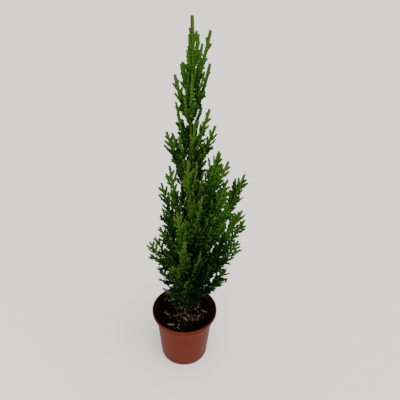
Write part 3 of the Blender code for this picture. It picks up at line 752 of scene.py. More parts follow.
class Joined:
    """Many small shapes with three-cornered faces, gathered for one mesh."""

    def __init__(self):
        self.points = []
        self.faces = []
        self.slots = []
        self.count = 0

    def add(self, points, faces, slot=0):
        self.points.append(np.asarray(points, float))
        self.faces.append(np.asarray(faces, int) + self.count)
        self.slots.append(np.full(len(faces), slot))
        self.count += len(points)

    def arrays(self):
        return np.concatenate(self.points), np.concatenate(self.faces), np.concatenate(self.slots)

    def piece(self, name, finishes, smooth=False):
        points, faces, slots = self.arrays()
        return mesh_piece(name, points, faces, finishes, slots, smooth)


def unit(vectors):
    return vectors / np.linalg.norm(vectors, axis=-1, keepdims=True)


def circle(sides):
    turns = np.arange(sides) * math.tau / sides
    return np.cos(turns), np.sin(turns)


def tube_faces(rings, sides):
    """Four-cornered faces of a closed tube with an even number of sides, whose caps are strips."""
    ring, side = np.meshgrid(np.arange(rings - 1), np.arange(sides), indexing="ij")
    low = (ring * sides + side).ravel()
    after = (ring * sides + (side + 1) % sides).ravel()
    walls = np.stack([low, after, after + sides, low + sides], -1)
    k = np.arange(sides // 2 - 1)
    cap = np.stack([k, k + 1, sides - 2 - k, (sides - 1 - k) % sides], -1)
    return np.concatenate([walls, cap[:, ::-1], cap + (rings - 1) * sides])


def tube_points(centres, ways, across, radii, sides):
    """Rings of points square to a line, with a radius for each point."""
    ways = unit(ways)
    across = unit(across - ways * (ways * across).sum(-1, keepdims=True))
    deep = np.cross(ways, across)
    x, y = circle(sides)
    ring = across[:, None] * x[None, :, None] + deep[:, None] * y[None, :, None]
    return (centres[:, None] + ring * radii[..., None]).reshape(-1, 3)


def turned_points(line, sides):
    """Rings of points about Z from a line of (radius, height)."""
    x, y = circle(sides)
    return np.concatenate([np.stack([x * radius, y * radius, x * 0 + height], -1) for radius, height in line])


def rounded(corners):
    """A line through (radius, height, rounding) corners, each cut back by its rounding and bent round."""
    flat = [Vector((radius, height)) for radius, height, _ in corners]
    line = [flat[0]]
    for back, here, on, (_, _, rounding) in zip(flat, flat[1:], flat[2:], corners[1:]):
        start = here + (back - here).normalized() * min(rounding, (back - here).length / 2)
        end = here + (on - here).normalized() * min(rounding, (on - here).length / 2)
        for j in range(CORNER_STEPS + 1):
            share = j / CORNER_STEPS
            line.append(start * (1 - share) ** 2 + here * 2 * share * (1 - share) + end * share**2)
    return [*line, flat[-1]]


def grain_shape():
    """The points and faces of a round grain of radius 1."""
    form = bmesh.new()
    bmesh.ops.create_icosphere(form, subdivisions=1, radius=1)
    points = np.array([vertex.co for vertex in form.verts])
    faces = np.array([[vertex.index for vertex in face.verts] for face in form.faces])
    form.free()
    return points, faces


def spindle(base, rings, tip):
    """A closed shape with a point at both ends and rings of corners between them, facing out."""
    points = np.array([base, *(corner for ring in rings for corner in ring), tip])
    last = len(points) - 1
    sides = len(rings[0])
    faces = []
    for k in range(sides):
        on = (k + 1) % sides
        faces += [(0, on + 1, k + 1), (last, last - sides + k, last - sides + on)]
        for ring in range(len(rings) - 1):
            low = ring * sides + 1
            faces += [(low + k, low + on, low + on + sides), (low + k, low + on + sides, low + k + sides)]
    faces = np.array(faces)
    a, b, c = (points[faces[:, k]] for k in range(3))
    outward = (np.cross(a, b) * c).sum() > 0
    return points, faces if outward else faces[:, ::-1]


# The plant's lines, as in the source


def trunk_point(height):
    levels = [level * MM for level, _, _ in TRUNK_LINE]
    x = np.interp(height, levels, [x * MM for _, x, _ in TRUNK_LINE])
    y = np.interp(height, levels, [y * MM for _, _, y in TRUNK_LINE])
    return Vector((x, y, height))


def trunk_radius(height):
    share = max(0, min(1, (height - TRUNK_FOOT) / (TRUNK_TIP - TRUNK_FOOT)))
    flare = ROOT_FLARE * math.exp(-(height - TRUNK_FOOT) / ROOT_FLARE_HEIGHT)
    return TRUNK_FOOT_RADIUS + (TRUNK_TIP_RADIUS - TRUNK_FOOT_RADIUS) * share + flare


def limb_curve(limb):
    """A limb's line, bowed up and out from just clear of the trunk to its tip."""
    turn = math.radians(limb.azimuth)
    out = Vector((math.cos(turn), math.sin(turn), 0)) * limb.reach * MM
    rise = UP * (limb.tip - limb.height) * MM
    foot = trunk_point(limb.height * MM)
    bend = foot + out * BOW_OUT + rise * BOW_UP
    slope = (bend - foot).normalized()
    radius = BOUGH_RADIUS if limb.bare else STEM_RADIUS
    clear = trunk_radius(foot.z) + GAP + radius * slope.z
    start = foot + slope * clear / math.hypot(slope.x, slope.y)
    return Curve(start, bend, foot + out + rise)


def limb_spray(limb):
    """The measures of a limb's spray, which is smaller and more pointed towards the top of the crown."""
    curve = limb_curve(limb)
    turn = math.radians(limb.azimuth)
    side = Vector((math.sin(turn), -math.cos(turn), 0))
    start = limb.bare + GAP / length_of(curve) if limb.bare else 0
    high = (limb.tip * MM - POT_TOP) / (LEADER_TIP.z - POT_TOP)
    narrowing = 1 - TOP_NARROWING * high
    roll = math.radians(limb.roll)
    spread = limb.spread * narrowing * MM
    lead = TIP_LEAD - TOP_LEAD_LOSS * high
    shortest = min(SHORTEST_TWIG, SHORTEST_SHARE * spread)
    return Spray(limb.name, curve, side, roll, spread, high, start, narrowing, 0, lead, shortest)


def leader_spray():
    foot = trunk_point(TRUNK_LINE[-1][0] * MM) + UP * GAP
    return Spray(
        "leader",
        Curve(foot, (foot + LEADER_TIP) / 2, LEADER_TIP),
        side=Vector((0, -1, 0)),
        roll=0,
        spread=LEADER_SPREAD * LEADER_BREADTH,
        high=1,
        narrowing=LEADER_NARROWING,
        turn=math.radians(LEADER_TURN),
        lead=LEADER_LEAD,
        shortest=LEADER_SHORTEST_TWIG,
    )


def point_on(curve, share):
    rest = 1 - share
    return curve.start * rest * rest + curve.bend * 2 * share * rest + curve.end * share * share


def way_on(curve, share):
    return ((curve.bend - curve.start) * (1 - share) + (curve.end - curve.bend) * share).normalized()


def traced(curve, shares):
    """The points and the ways of a curve at those shares."""
    points = np.array([point_on(curve, share) for share in shares])
    ways = np.array([way_on(curve, share) for share in shares])
    return points, ways


def length_of(curve):
    points = [point_on(curve, k / SPACE_SAMPLES) for k in range(SPACE_SAMPLES + 1)]
    return sum((after - before).length for before, after in zip(points, points[1:]))


def across_on(spray, share, turn=0):
    """The way across a spray's plane at a share of its length."""
    upright = way_on(spray.curve, share).cross(spray.side)
    roll = spray.roll + turn
    return (upright * math.cos(roll) + spray.side * math.sin(roll)).normalized()


def turned_way(way, across, normal, angle, lift):
    """A way turned to a side by an angle, and lifted a little out of the plane."""
    return (way * math.cos(angle) + across * math.sin(angle) + normal * lift).normalized()


def soil_height(x, y):
    """The compost's surface: level round the trunk, then lumpy and sinking to the wall."""
    share = (math.hypot(x, y) - SOIL_FLAT_RADIUS) / (SOIL_EDGE - SOIL_FLAT_RADIUS)
    share = max(0, min(1, share))
    lumps = noise.noise(Vector((x, y, 0)) / SOIL_LUMP) * min(1, LUMPS_RISE * share)
    return SOIL_LEVEL - SOIL_SINK * share + SOIL_ROUGHNESS * lumps


class Spaces:
    """The space round each limb, as in the source, but with room for fine shoots to mingle at its edge."""

    def __init__(self, sprays):
        shares = [k / SPACE_SAMPLES for k in range(SPACE_SAMPLES + 1)]
        points = np.array([[point_on(spray.curve, share) for share in shares] for spray in sprays])
        self.starts = points[:, :-1]
        self.runs = points[:, 1:] - points[:, :-1]
        self.levels = np.linspace(TRUNK_FOOT, TRUNK_TIP, len(TRUNK_LINE) * SPACE_SAMPLES)
        self.middles = np.array([trunk_point(level) for level in self.levels])
        self.radii = np.array([trunk_radius(level) for level in self.levels])

    def in_own(self, own, points):
        """Which points lie nearer to that limb than to any other, or as much as they may mingle beyond."""
        away = points[:, None, None] - self.starts
        share = np.clip((away * self.runs).sum(-1) / (self.runs**2).sum(-1), 0, 1)
        apart = np.sqrt(((away - share[..., None] * self.runs) ** 2).sum(-1)).min(-1)
        return apart[:, own] < np.delete(apart, own, 1).min(1) + MINGLE

    def kept(self, own, points, width):
        """How many points, in order, lie in the limb's own space, clear of trunk, compost and rim."""
        good = np.full(len(points), True) if own is None else self.in_own(own, points)
        x, y, height = points.T
        lines = (self.middles[:, 0], self.middles[:, 1], self.radii)
        trunk_x, trunk_y, radius = (np.interp(height, self.levels, line) for line in lines)
        good &= (height > TRUNK_TIP) | (np.hypot(x - trunk_x, y - trunk_y) > radius + width / 3)
        low, high = np.array(CAD_BOX)
        good &= ((points > low + width) & (points < high - width)).all(1)
        good &= height > SOIL_LEVEL + SOIL_CLEARANCE + width / 2
        good &= (np.hypot(x, y) < SOIL_EDGE - width) | (height > POT_TOP + RIM_CLEARANCE + width / 2)
        return len(points) if good.all() else int(np.argmin(good))


# Scaly shoots


def scale_ring():
    """One ring of scales on a shoot: a keeled pair at its sides, and a ridged one between them.

    x is across and z is out of the spray's plane, in widths, and y is along, in lengths of the ring.
    """
    shapes = Joined()
    rings = [[(-x, y, 0), (0, y, x), (x, y, 0), (0, y, -x)] for x, y in MIDDLE_RINGS]
    shapes.add(*spindle((0, SCALE_FOOT, 0), rings, (0, SCALE_TIP, 0)))
    x, y, z = KEEL_FLANK
    for hand in (-1, 1):
        ring = [(KEEL[0] * hand, KEEL[1], 0), (x * hand, y, z), (x * hand, y, -z)]
        shapes.add(*spindle((KEEL_FOOT * hand, SCALE_FOOT, 0), [ring], (KEEL_TIP * hand, SCALE_TIP, 0)))
    return shapes.arrays()[:2]


class Grower:
    """Grows sprays by the source's rule, with finer shoots between its long ones."""

    def __init__(self, look, spaces, dice):
        self.look = look
        self.spaces = spaces
        self.dice = dice

    def play(self, most):
        return self.dice.uniform(-most, most)

    def width_on(self, spray):
        """The width of a spray's shoots, wider towards the top of the crown."""
        return self.look.width * (FOOT_WIDTH + (TOP_WIDTH - FOOT_WIDTH) * math.sqrt(spray.high))

    def varied(self, tone):
        """A green a little fresher or older than that, or still dead."""
        play = self.play(SHOOT_TONE_PLAY)
        return None if tone is None else tone + play

    def shoot(self, own, root, way, toward, normal, length, width, tone, gain):
        """One scaly shoot that bends towards its parent's way, as long as its space lets it be."""
        count = max(FEWEST_RINGS, round(length / self.look.ring))
        lean = (SHOOT_BEND * np.arange(count + 1) / count)[:, None]
        ways = unit(np.array(way) * (1 - lean) + np.array(toward) * lean)
        steps = np.cumsum(ways[:-1] * length / count, 0)
        points = np.array(root) + np.concatenate([np.zeros((1, 3)), steps])
        kept = self.spaces.kept(own, points[1:], width)
        if kept < FEWEST_RINGS:
            return None
        widths = width * (1 - SHOOT_TAPER * np.arange(kept) / kept)
        widths[-1] *= TIP_WIDTH
        return Shoot(points[: kept + 1], ways[: kept + 1], np.array(normal), widths, tone, gain)

    def side_shoots(self, own, parent, order, spray):
        """Small shoots left and right of a longer one, in turn, and smaller ones on those."""
        dice = self.dice
        grown = []
        steps = np.linalg.norm(np.diff(parent.points, axis=0), axis=1)
        reached = np.concatenate([[0], np.cumsum(steps)])
        length = reached[-1]
        spacing = self.look.shoot_spacing * ORDER_SPACING[order] * (1 + TOP_SPACING * spray.high**2)
        hand = dice.choice((-1, 1))
        along = spacing * FIRST_SHOOT
        turn = dice.randrange(LONG_EVERY)
        while along < length - LAST_SHOOT:
            root = Vector([np.interp(along, reached, parent.points[:, axis]) for axis in range(3)])
            way = Vector(parent.ways[np.searchsorted(reached, along) - 1])
            normal = Vector(parent.normal)
            across = normal.cross(way).normalized() * hand
            angle = math.radians(SHOOT_ANGLE + self.play(ANGLE_PLAY)) * spray.narrowing
            out = turned_way(way, across, normal, angle, self.play(LIFT_PLAY))
            wish = dice.uniform(*SHORT_SHOOT) * (1 - SHORTER_AT_TIP * along / length)
            wish *= 1 - SHORTER_AT_TOP * spray.high**2
            if order == 0 and turn % LONG_EVERY == 0:
                most = (length - along) * SHOOT_SHARE * dice.uniform(RAGGEDNESS, 1)
                wish = max(wish, min(LONGEST_SHOOT, most))
            turn += 1
            width = parent.widths[0] * ORDER_WIDTH[order]
            tone = parent.tone
            if tone is not None:
                tone += parent.gain * (along / length) ** GAIN_CURVE
            gain = parent.gain * SHOOT_GAIN
            made = self.shoot(own, root, out, way, normal, wish, width, self.varied(tone), gain)
            if made:
                grown.append(made)
                if order == 0 and wish > BRANCHING_FROM:
                    grown += self.side_shoots(own, made, 1, spray)
            hand = -hand
            along += spacing
        return grown

    def stem(self, spray, tone, gain):
        """The spray's own leading shoot, where its line is no longer woody."""
        curve = spray.curve
        leader = spray.name == "leader"
        start = 0 if leader else max(spray.start, SCALY_FROM)
        count = round(length_of(curve) * (1 - start) / self.look.ring / STEM_STRETCH)
        shares = start + (1 - start) * np.arange(count + 1) / count
        points, ways = traced(curve, shares)
        widths = self.width_on(spray) * (STEM_WIDTH - (STEM_WIDTH - 1) * np.arange(count) / count)
        if leader:
            widths *= np.linspace(*LEADER_WIDTH, count)
        widths[-1] *= TIP_WIDTH
        normal = way_on(curve, 1).cross(across_on(spray, 1))
        return Shoot(points, ways, np.array(normal), widths, tone, STEM_GAIN + gain)

    def spray(self, spray, own, tone):
        """All the shoots of a spray: left and right of its stem in turn, each with its own small ones."""
        dice = self.dice
        curve = spray.curve
        whole = length_of(curve)
        gain = TWIG_GAIN * (FOOT_GAIN + (1 - FOOT_GAIN) * curve.end.z / LEADER_TIP.z)
        grown = [self.stem(spray, tone, gain)]
        spacing = self.look.twig_spacing * (1 + TOP_SPACING * spray.high**2)
        count = max(FEWEST_TWIGS, int(whole * (1 - spray.start) / spacing))
        hand = dice.choice((-1, 1))
        for k in range(count):
            along = ((k + FIRST_TWIG) / (count + 1 - FIRST_TWIG)) ** CLOSER_INSIDE
            share = spray.start + (1 - spray.start) * along
            root = point_on(curve, share)
            way = way_on(curve, share)
            across = across_on(spray, share, spray.turn * (k // 2) + math.radians(self.play(TURN_PLAY)))
            normal = way.cross(across)
            degrees = TWIG_ANGLE + (TWIG_ANGLE_AT_TIP - TWIG_ANGLE) * along
            angle = math.radians((degrees + self.play(ANGLE_PLAY)) * spray.narrowing)
            out = turned_way(way, across * hand, normal, angle, self.play(LIFT_PLAY))
            hand = -hand
            breadth = min(1, INNER_BREADTH + BREADTH_GAIN * along)
            wish = spray.spread * breadth / math.sin(angle) * dice.uniform(RAGGEDNESS, 1)
            most = whole * (1 - share) * spray.lead / math.cos(angle)
            if most < spray.shortest:
                break
            wish = min(max(spray.shortest, wish), most)
            dead = root.z < DEAD_BELOW and dice.random() < DEAD_SHARE
            own_tone = None if dead else self.varied(tone + STEM_GAIN * along**GAIN_CURVE)
            width = self.width_on(spray) * (INNER_WIDTH + (1 - INNER_WIDTH) * along)
            twig = self.shoot(own, root, out, way, normal, wish, width, own_tone, gain)
            if twig:
                grown.append(twig)
                grown += self.side_shoots(own, twig, 0, spray)
        return grown


def tones_along(shoot, dice):
    """The numbers of the greens along a shoot, lighter towards its fresh tip and darker at its foot as painted
    shade, or of one of the dead colours.
    """
    count = len(shoot.widths)
    if shoot.tone is None:
        return np.full(count, TONES + dice.choice(DEAD_TONES))
    tone = shoot.tone + shoot.gain * (np.arange(count) / count) ** GAIN_CURVE
    return np.clip(np.round(tone * (TONES - 1)), 0, TONES - 1).astype(int)


def scaly_piece(name, shoots, greens, dice):
    """One mesh with a ring of scales on every stretch of the shoots, each in its own plain green."""
    parts = []
    for shoot in shoots:
        count = len(shoot.widths)
        side = unit(np.cross(shoot.ways[:count], shoot.normal))
        deep = np.cross(side, shoot.ways[:count])
        wide = shoot.widths[:, None]
        along = np.diff(shoot.points, axis=0)
        along[-1] *= LAST_RING
        parts.append((shoot.points[:count], side * wide, along, deep * wide, tones_along(shoot, dice)))
    places, across, along, deep, tones = (np.concatenate(part) for part in zip(*parts))
    form, faces = scale_ring()
    x, y, z = (form[None, :, axis, None] for axis in range(3))
    points = places[:, None] + x * across[:, None] + y * along[:, None] + z * deep[:, None]
    faces_on = faces[None] + (np.arange(len(places)) * len(form))[:, None, None]
    slots = np.repeat(tones, len(faces))
    return mesh_piece(name, points.reshape(-1, 3), faces_on.reshape(-1, 3), greens, slots)


def bark_relief(heights, sides, depth, limbs=()):
    """How far bark stands out at each point of a tube, in radii: upright ridges, and collars at limbs."""
    x, y = circle(sides)
    relief = np.zeros((len(heights), sides))
    for row, height in enumerate(heights):
        for k in range(sides):
            place = Vector((x[k] * RIDGE_COUNT, y[k] * RIDGE_COUNT, height / RIDGE_LENGTH))
            relief[row, k] = depth * noise.fractal(place, *RIDGE_NOISE)
    turns = np.arange(sides) * math.tau / sides
    for limb in limbs:
        apart = (turns - math.radians(limb.azimuth) + math.pi) % math.tau - math.pi
        up = (heights - limb.height * MM) / COLLAR_HEIGHT
        relief += COLLAR_SWELL * np.exp(-(up**2))[:, None] * np.exp(-((apart / COLLAR_TURN) ** 2))[None]
    return relief


# Operators


class CYPRESS_OT_pot(Operator):
    """Turns the moulded pot with its collar, lip and drain holes"""

    bl_idname = "cypress.pot"
    bl_label = "Pot"

    def execute(self, context):
        look = context.scene.cypress_pot
        outside = [
            (look.base_radius, *AT_BASE),
            (look.body_radius, *AT_COLLAR),
            (look.collar_radius, *AT_SHOULDER),
            (POT_RIM_RADIUS - LIP_INSET, *AT_LIP),
            (POT_RIM_RADIUS, *AT_LIP_EDGE),
            (POT_RIM_RADIUS, *AT_RIM),
        ]
        inside = [
            (POT_RIM_RADIUS - look.wall, *AT_INNER_RIM),
            *((radius - look.wall, *place) for radius, *place in outside[3:0:-1]),
            (look.base_radius - look.wall, *AT_FLOOR),
        ]
        line = rounded([(MIDDLE_RADIUS, 0, 0), *outside, *inside, (MIDDLE_RADIUS, POT_FLOOR, 0)])
        points = turned_points(line, look.sides)
        faces = tube_faces(len(line), look.sides)
        rings = points[:, :2].reshape(len(line), look.sides, 2)
        lip = int(np.linalg.norm(rings[:, 0], axis=1).argmax())
        # the faces inside the pot, which take the darker plastic
        inner_wall = np.arange(len(faces)) > (lip + RIM_RINGS) * look.sides
        clay = [terracotta_plastic(look), inner_wall_plastic(look)]
        pot = mesh_piece("pot_shell", points, faces, clay, inner_wall, smooth=True)
        self.drill(pot)
        pot.data.set_sharp_from_angle(angle=math.radians(POT_CREASE))
        dress(pot, "terracotta_plastic", "pot")
        return {"FINISHED"}

    def drill(self, pot):
        """Cuts the drain holes through the floor."""
        holes = bmesh.new()
        for k in range(DRAIN_HOLES):
            turn = Matrix.Rotation(math.tau * (k + 0.5) / DRAIN_HOLES, 4, "Z")
            place = turn @ Matrix.Translation((DRAIN_CIRCLE, 0, 0))
            sizes = {"radius1": DRAIN_RADIUS, "radius2": DRAIN_RADIUS, "depth": DRAIN_DEPTH}
            bmesh.ops.create_cone(holes, cap_ends=True, segments=DRAIN_SIDES, matrix=place, **sizes)
        mesh = bpy.data.meshes.new("holes")
        holes.to_mesh(mesh)
        holes.free()
        cutter = placed("holes", mesh)
        cut = pot.modifiers.new("drain holes", "BOOLEAN")
        cut.operation = "DIFFERENCE"
        cut.object = cutter
        seen = pot.evaluated_get(bpy.context.evaluated_depsgraph_get())
        pot.data = bpy.data.meshes.new_from_object(seen)
        pot.modifiers.clear()
        bpy.data.objects.remove(cutter)


class CYPRESS_OT_compost(Operator):
    """Fills the pot with damp compost, and scatters crumbs, fibres and grit on it"""

    bl_idname = "cypress.compost"
    bl_label = "Compost"

    def execute(self, context):
        look = context.scene.cypress_compost
        dice = random.Random(COMPOST_SEED)
        edge = SOIL_EDGE - GAP
        line = [*FILL_LINE, *((edge * k / SOIL_RINGS, SOIL_LEVEL) for k in range(SOIL_RINGS, 0, -1))]
        points = turned_points(line, SOIL_SIDES)
        for point in points[len(FILL_LINE) * SOIL_SIDES :]:
            point[2] = fine_soil(point[0], point[1])
        peat = damp_compost(look)
        faces = tube_faces(len(line), SOIL_SIDES)
        dress(mesh_piece("compost_fill", points, faces, [peat], smooth=True), "damp_compost", "compost")
        crumb = grain_of("compost_crumb", look.crumb)
        grit = grain_of("pale_grit", look.grit)
        loose = Joined()
        form, faces = grain_shape()
        for _ in range(look.crumbs):
            x, y = on_soil(dice, edge - CRUMB_CLEARANCE)
            size = CRUMB_SIZE[0] + CRUMB_SIZE[1] * dice.random() ** 3
            kind = dice.choices((0, 1, 2), CRUMB_SHARES)[0]
            size = min(size, LARGEST_GRIT) if kind == 2 else size
            jitter = np.array([[dice.uniform(*CRUMB_JITTER)] for _ in form])
            stretch = np.array([dice.uniform(*span) for span in CRUMB_STRETCH])
            place = np.array([x, y, fine_soil(x, y) + size * CRUMB_LIFT])
            loose.add(form * jitter * stretch * size + place, faces, kind)
        for _ in range(look.fibres):
            x, y = on_soil(dice, edge - WALL_CLEARANCE)
            half = Vector((dice.uniform(*FIBRE_HALF) * MM, 0, dice.uniform(*FIBRE_TILT) * MM))
            half.rotate(Matrix.Rotation(dice.uniform(0, math.tau), 3, "Z"))
            place = Vector((x, y, fine_soil(x, y) + FIBRE_LIFT))
            across = half.cross(UP).normalized() * FIBRE_HALF_WIDTH
            ring = [place + across, place + UP * FIBRE_HEIGHT, place - across]
            loose.add(*spindle(place - half, [ring], place + half), dice.choice((0, 1)))
        dress(loose.piece("compost_crumbs", [peat, crumb, grit]), "damp_compost")
        return {"FINISHED"}


def fine_soil(x, y):
    """The compost's surface with its crumbly lumps."""
    lumps = (rise * noise.noise(Vector((x, y, level)) / size) for size, rise, level in FINE_LUMPS)
    return soil_height(x, y) + sum(lumps)


def on_soil(dice, edge):
    """A random place inside a circle round the pot's middle."""
    out = edge * math.sqrt(dice.random())
    turn = dice.uniform(0, math.tau)
    return out * math.cos(turn), out * math.sin(turn)


def flake(dice, length, width, thickness):
    """A splinter of bark along X: rings that swell to its middle, ragged and slightly bent."""
    shares = np.linspace(-1, 1, FLAKE_RINGS)
    body = (1 - np.abs(shares) ** FLAKE_CURVE) * (1 - FLAKE_END) + FLAKE_END
    ragged = np.array([[dice.uniform(*FLAKE_RAGGED)] for _ in shares])
    bend = dice.uniform(*FLAKE_BEND) * length
    x, y = circle(FLAKE_SIDES)
    points = np.zeros((FLAKE_RINGS, FLAKE_SIDES, 3))
    points[..., 0] = shares[:, None] * length / 2 + x * FLAKE_SLANT * length * np.sign(shares)[:, None]
    points[..., 1] = x * body[:, None] * width / 2 * ragged
    points[..., 2] = y * thickness / 2 * ragged + (1 - shares[:, None] ** 2) * bend
    quads = tube_faces(FLAKE_RINGS, FLAKE_SIDES)
    return points.reshape(-1, 3), np.concatenate([quads[:, :3], quads[:, [0, 2, 3]]])


class CYPRESS_OT_chips(Operator):
    """Lays the flakes of bark on the compost: the source's large ones, and small ones between them"""

    bl_idname = "cypress.chips"
    bl_label = "Bark chips"

    def execute(self, context):
        look = context.scene.cypress_compost
        dice = random.Random(CHIP_SEED)
        woods = []
        for name, shade in WOODS:
            woods.append(chip_wood(name, [channel * share for channel, share in zip(look.chip, shade)]))
        chips = list(CHIPS)
        for _ in range(look.chips):
            x, y = on_soil(dice, SOIL_EDGE - WALL_CLEARANCE)
            length = dice.uniform(*SMALL_CHIP_LENGTH)
            wood = dice.choices((0, 1, 2), SMALL_CHIP_WOODS)[0]
            turn = dice.uniform(-90, 90)
            width = length * dice.uniform(*SMALL_CHIP_WIDTH)
            chips.append(Chip(x / MM, y / MM, turn, length, width, wood))
        for _ in range(look.straws):
            x, y = (dice.gauss(middle, STRAW_SCATTER) for middle in STRAW_MIDDLE)
            length = dice.uniform(*STRAW_LENGTH)
            width = dice.uniform(*STRAW_WIDTH)
            turn = dice.gauss(*STRAW_HEADING)
            chips.append(Chip(x, y, turn, length, width, dice.choices((0, 1), STRAW_WOODS)[0]))
        laid = Joined()
        for chip in chips:
            thickness = min(THICKEST_CHIP, chip.width * CHIP_THICKNESS)
            points, faces = flake(dice, chip.length * MM, chip.width * MM, thickness * MM)
            lean = Matrix.Rotation(math.radians(dice.uniform(-CHIP_LEAN, CHIP_LEAN)), 3, "Y")
            turn = Matrix.Rotation(math.radians(chip.turn), 3, "Z")
            x, y = chip.x * MM, chip.y * MM
            place = np.array([x, y, fine_soil(x, y) + CHIP_LIFT])
            laid.add(points @ np.array(turn @ lean).T + place, faces, chip.wood)
        dress(laid.piece("bark_chips", woods), "bark")
        return {"FINISHED"}


class CYPRESS_OT_trunk(Operator):
    """Grows the trunk with fibrous bark and a collar at each limb, from the compost to the leading shoot"""

    bl_idname = "cypress.trunk"
    bl_label = "Trunk"

    def execute(self, context):
        look = context.scene.cypress_bark
        count = round((TRUNK_TIP - TRUNK_FOOT) / look.row)
        heights = np.linspace(TRUNK_FOOT, TRUNK_TIP, count + 1)
        centres = np.array([trunk_point(height) for height in heights])
        radii = np.array([trunk_radius(height) for height in heights])[:, None]
        radii = radii * (1 + bark_relief(heights, look.sides, look.relief, LIMBS))
        ways = np.tile(np.array(UP), (count + 1, 1))
        points = tube_points(centres, ways, np.array((1, 0, 0)), radii, look.sides)
        bark = fibrous_bark(look, "trunk_bark", *YOUNG_TRUNK)
        faces = tube_faces(count + 1, look.sides)
        dress(mesh_piece("trunk_bark", points, faces, [bark], smooth=True), "bark", "trunk")
        return {"FINISHED"}


class CYPRESS_OT_boughs(Operator):
    """Grows the bare lower part of each large limb, and the woody stems inside the sprays"""

    bl_idname = "cypress.boughs"
    bl_label = "Boughs and woody stems"

    def execute(self, context):
        look = context.scene.cypress_bark
        bark = fibrous_bark(look, "bough_bark", *YOUNG_BOUGHS)
        for limb in LIMBS:
            if limb.bare:
                spray = limb_spray(limb)
                points, faces = self.limb_tube(look, spray, 0, limb.bare, BOUGH_RADIUS, BOUGH_TIP_RADIUS)
                bough = mesh_piece(limb.name + "_bark", points, faces, [bark], smooth=True)
                dress(bough, "bark", limb.name + "_bough")
        stems = Joined()
        for spray in sprays_of_limbs():
            if spray.start < WOODY_TO:
                radius = BOUGH_TIP_RADIUS if spray.start else WOODY_RADIUS
                stems.add(*self.limb_tube(look, spray, spray.start, WOODY_TO, radius, WOODY_TIP_RADIUS))
        dress(stems.piece("woody_stems", [bark], smooth=True), "bark")
        return {"FINISHED"}

    def limb_tube(self, look, spray, start, end, radius, tip_radius):
        """A tapering tube with bark relief along a stretch of a limb."""
        curve = spray.curve
        count = max(3, round(length_of(curve) * (end - start) / look.row))
        shares = np.linspace(start, end, count + 1)
        centres, ways = traced(curve, shares)
        sides = look.sides // 2
        radii = np.linspace(radius, tip_radius, count + 1)[:, None]
        radii = radii * (1 + bark_relief(centres[:, 2], sides, look.relief))
        return tube_points(centres, ways, np.array(spray.side), radii, sides), tube_faces(count + 1, sides)


def sprays_of_limbs():
    """The sprays of the limbs and the leading shoot that the source has."""
    return [limb_spray(limb) for limb in LIMBS] + [leader_spray()]


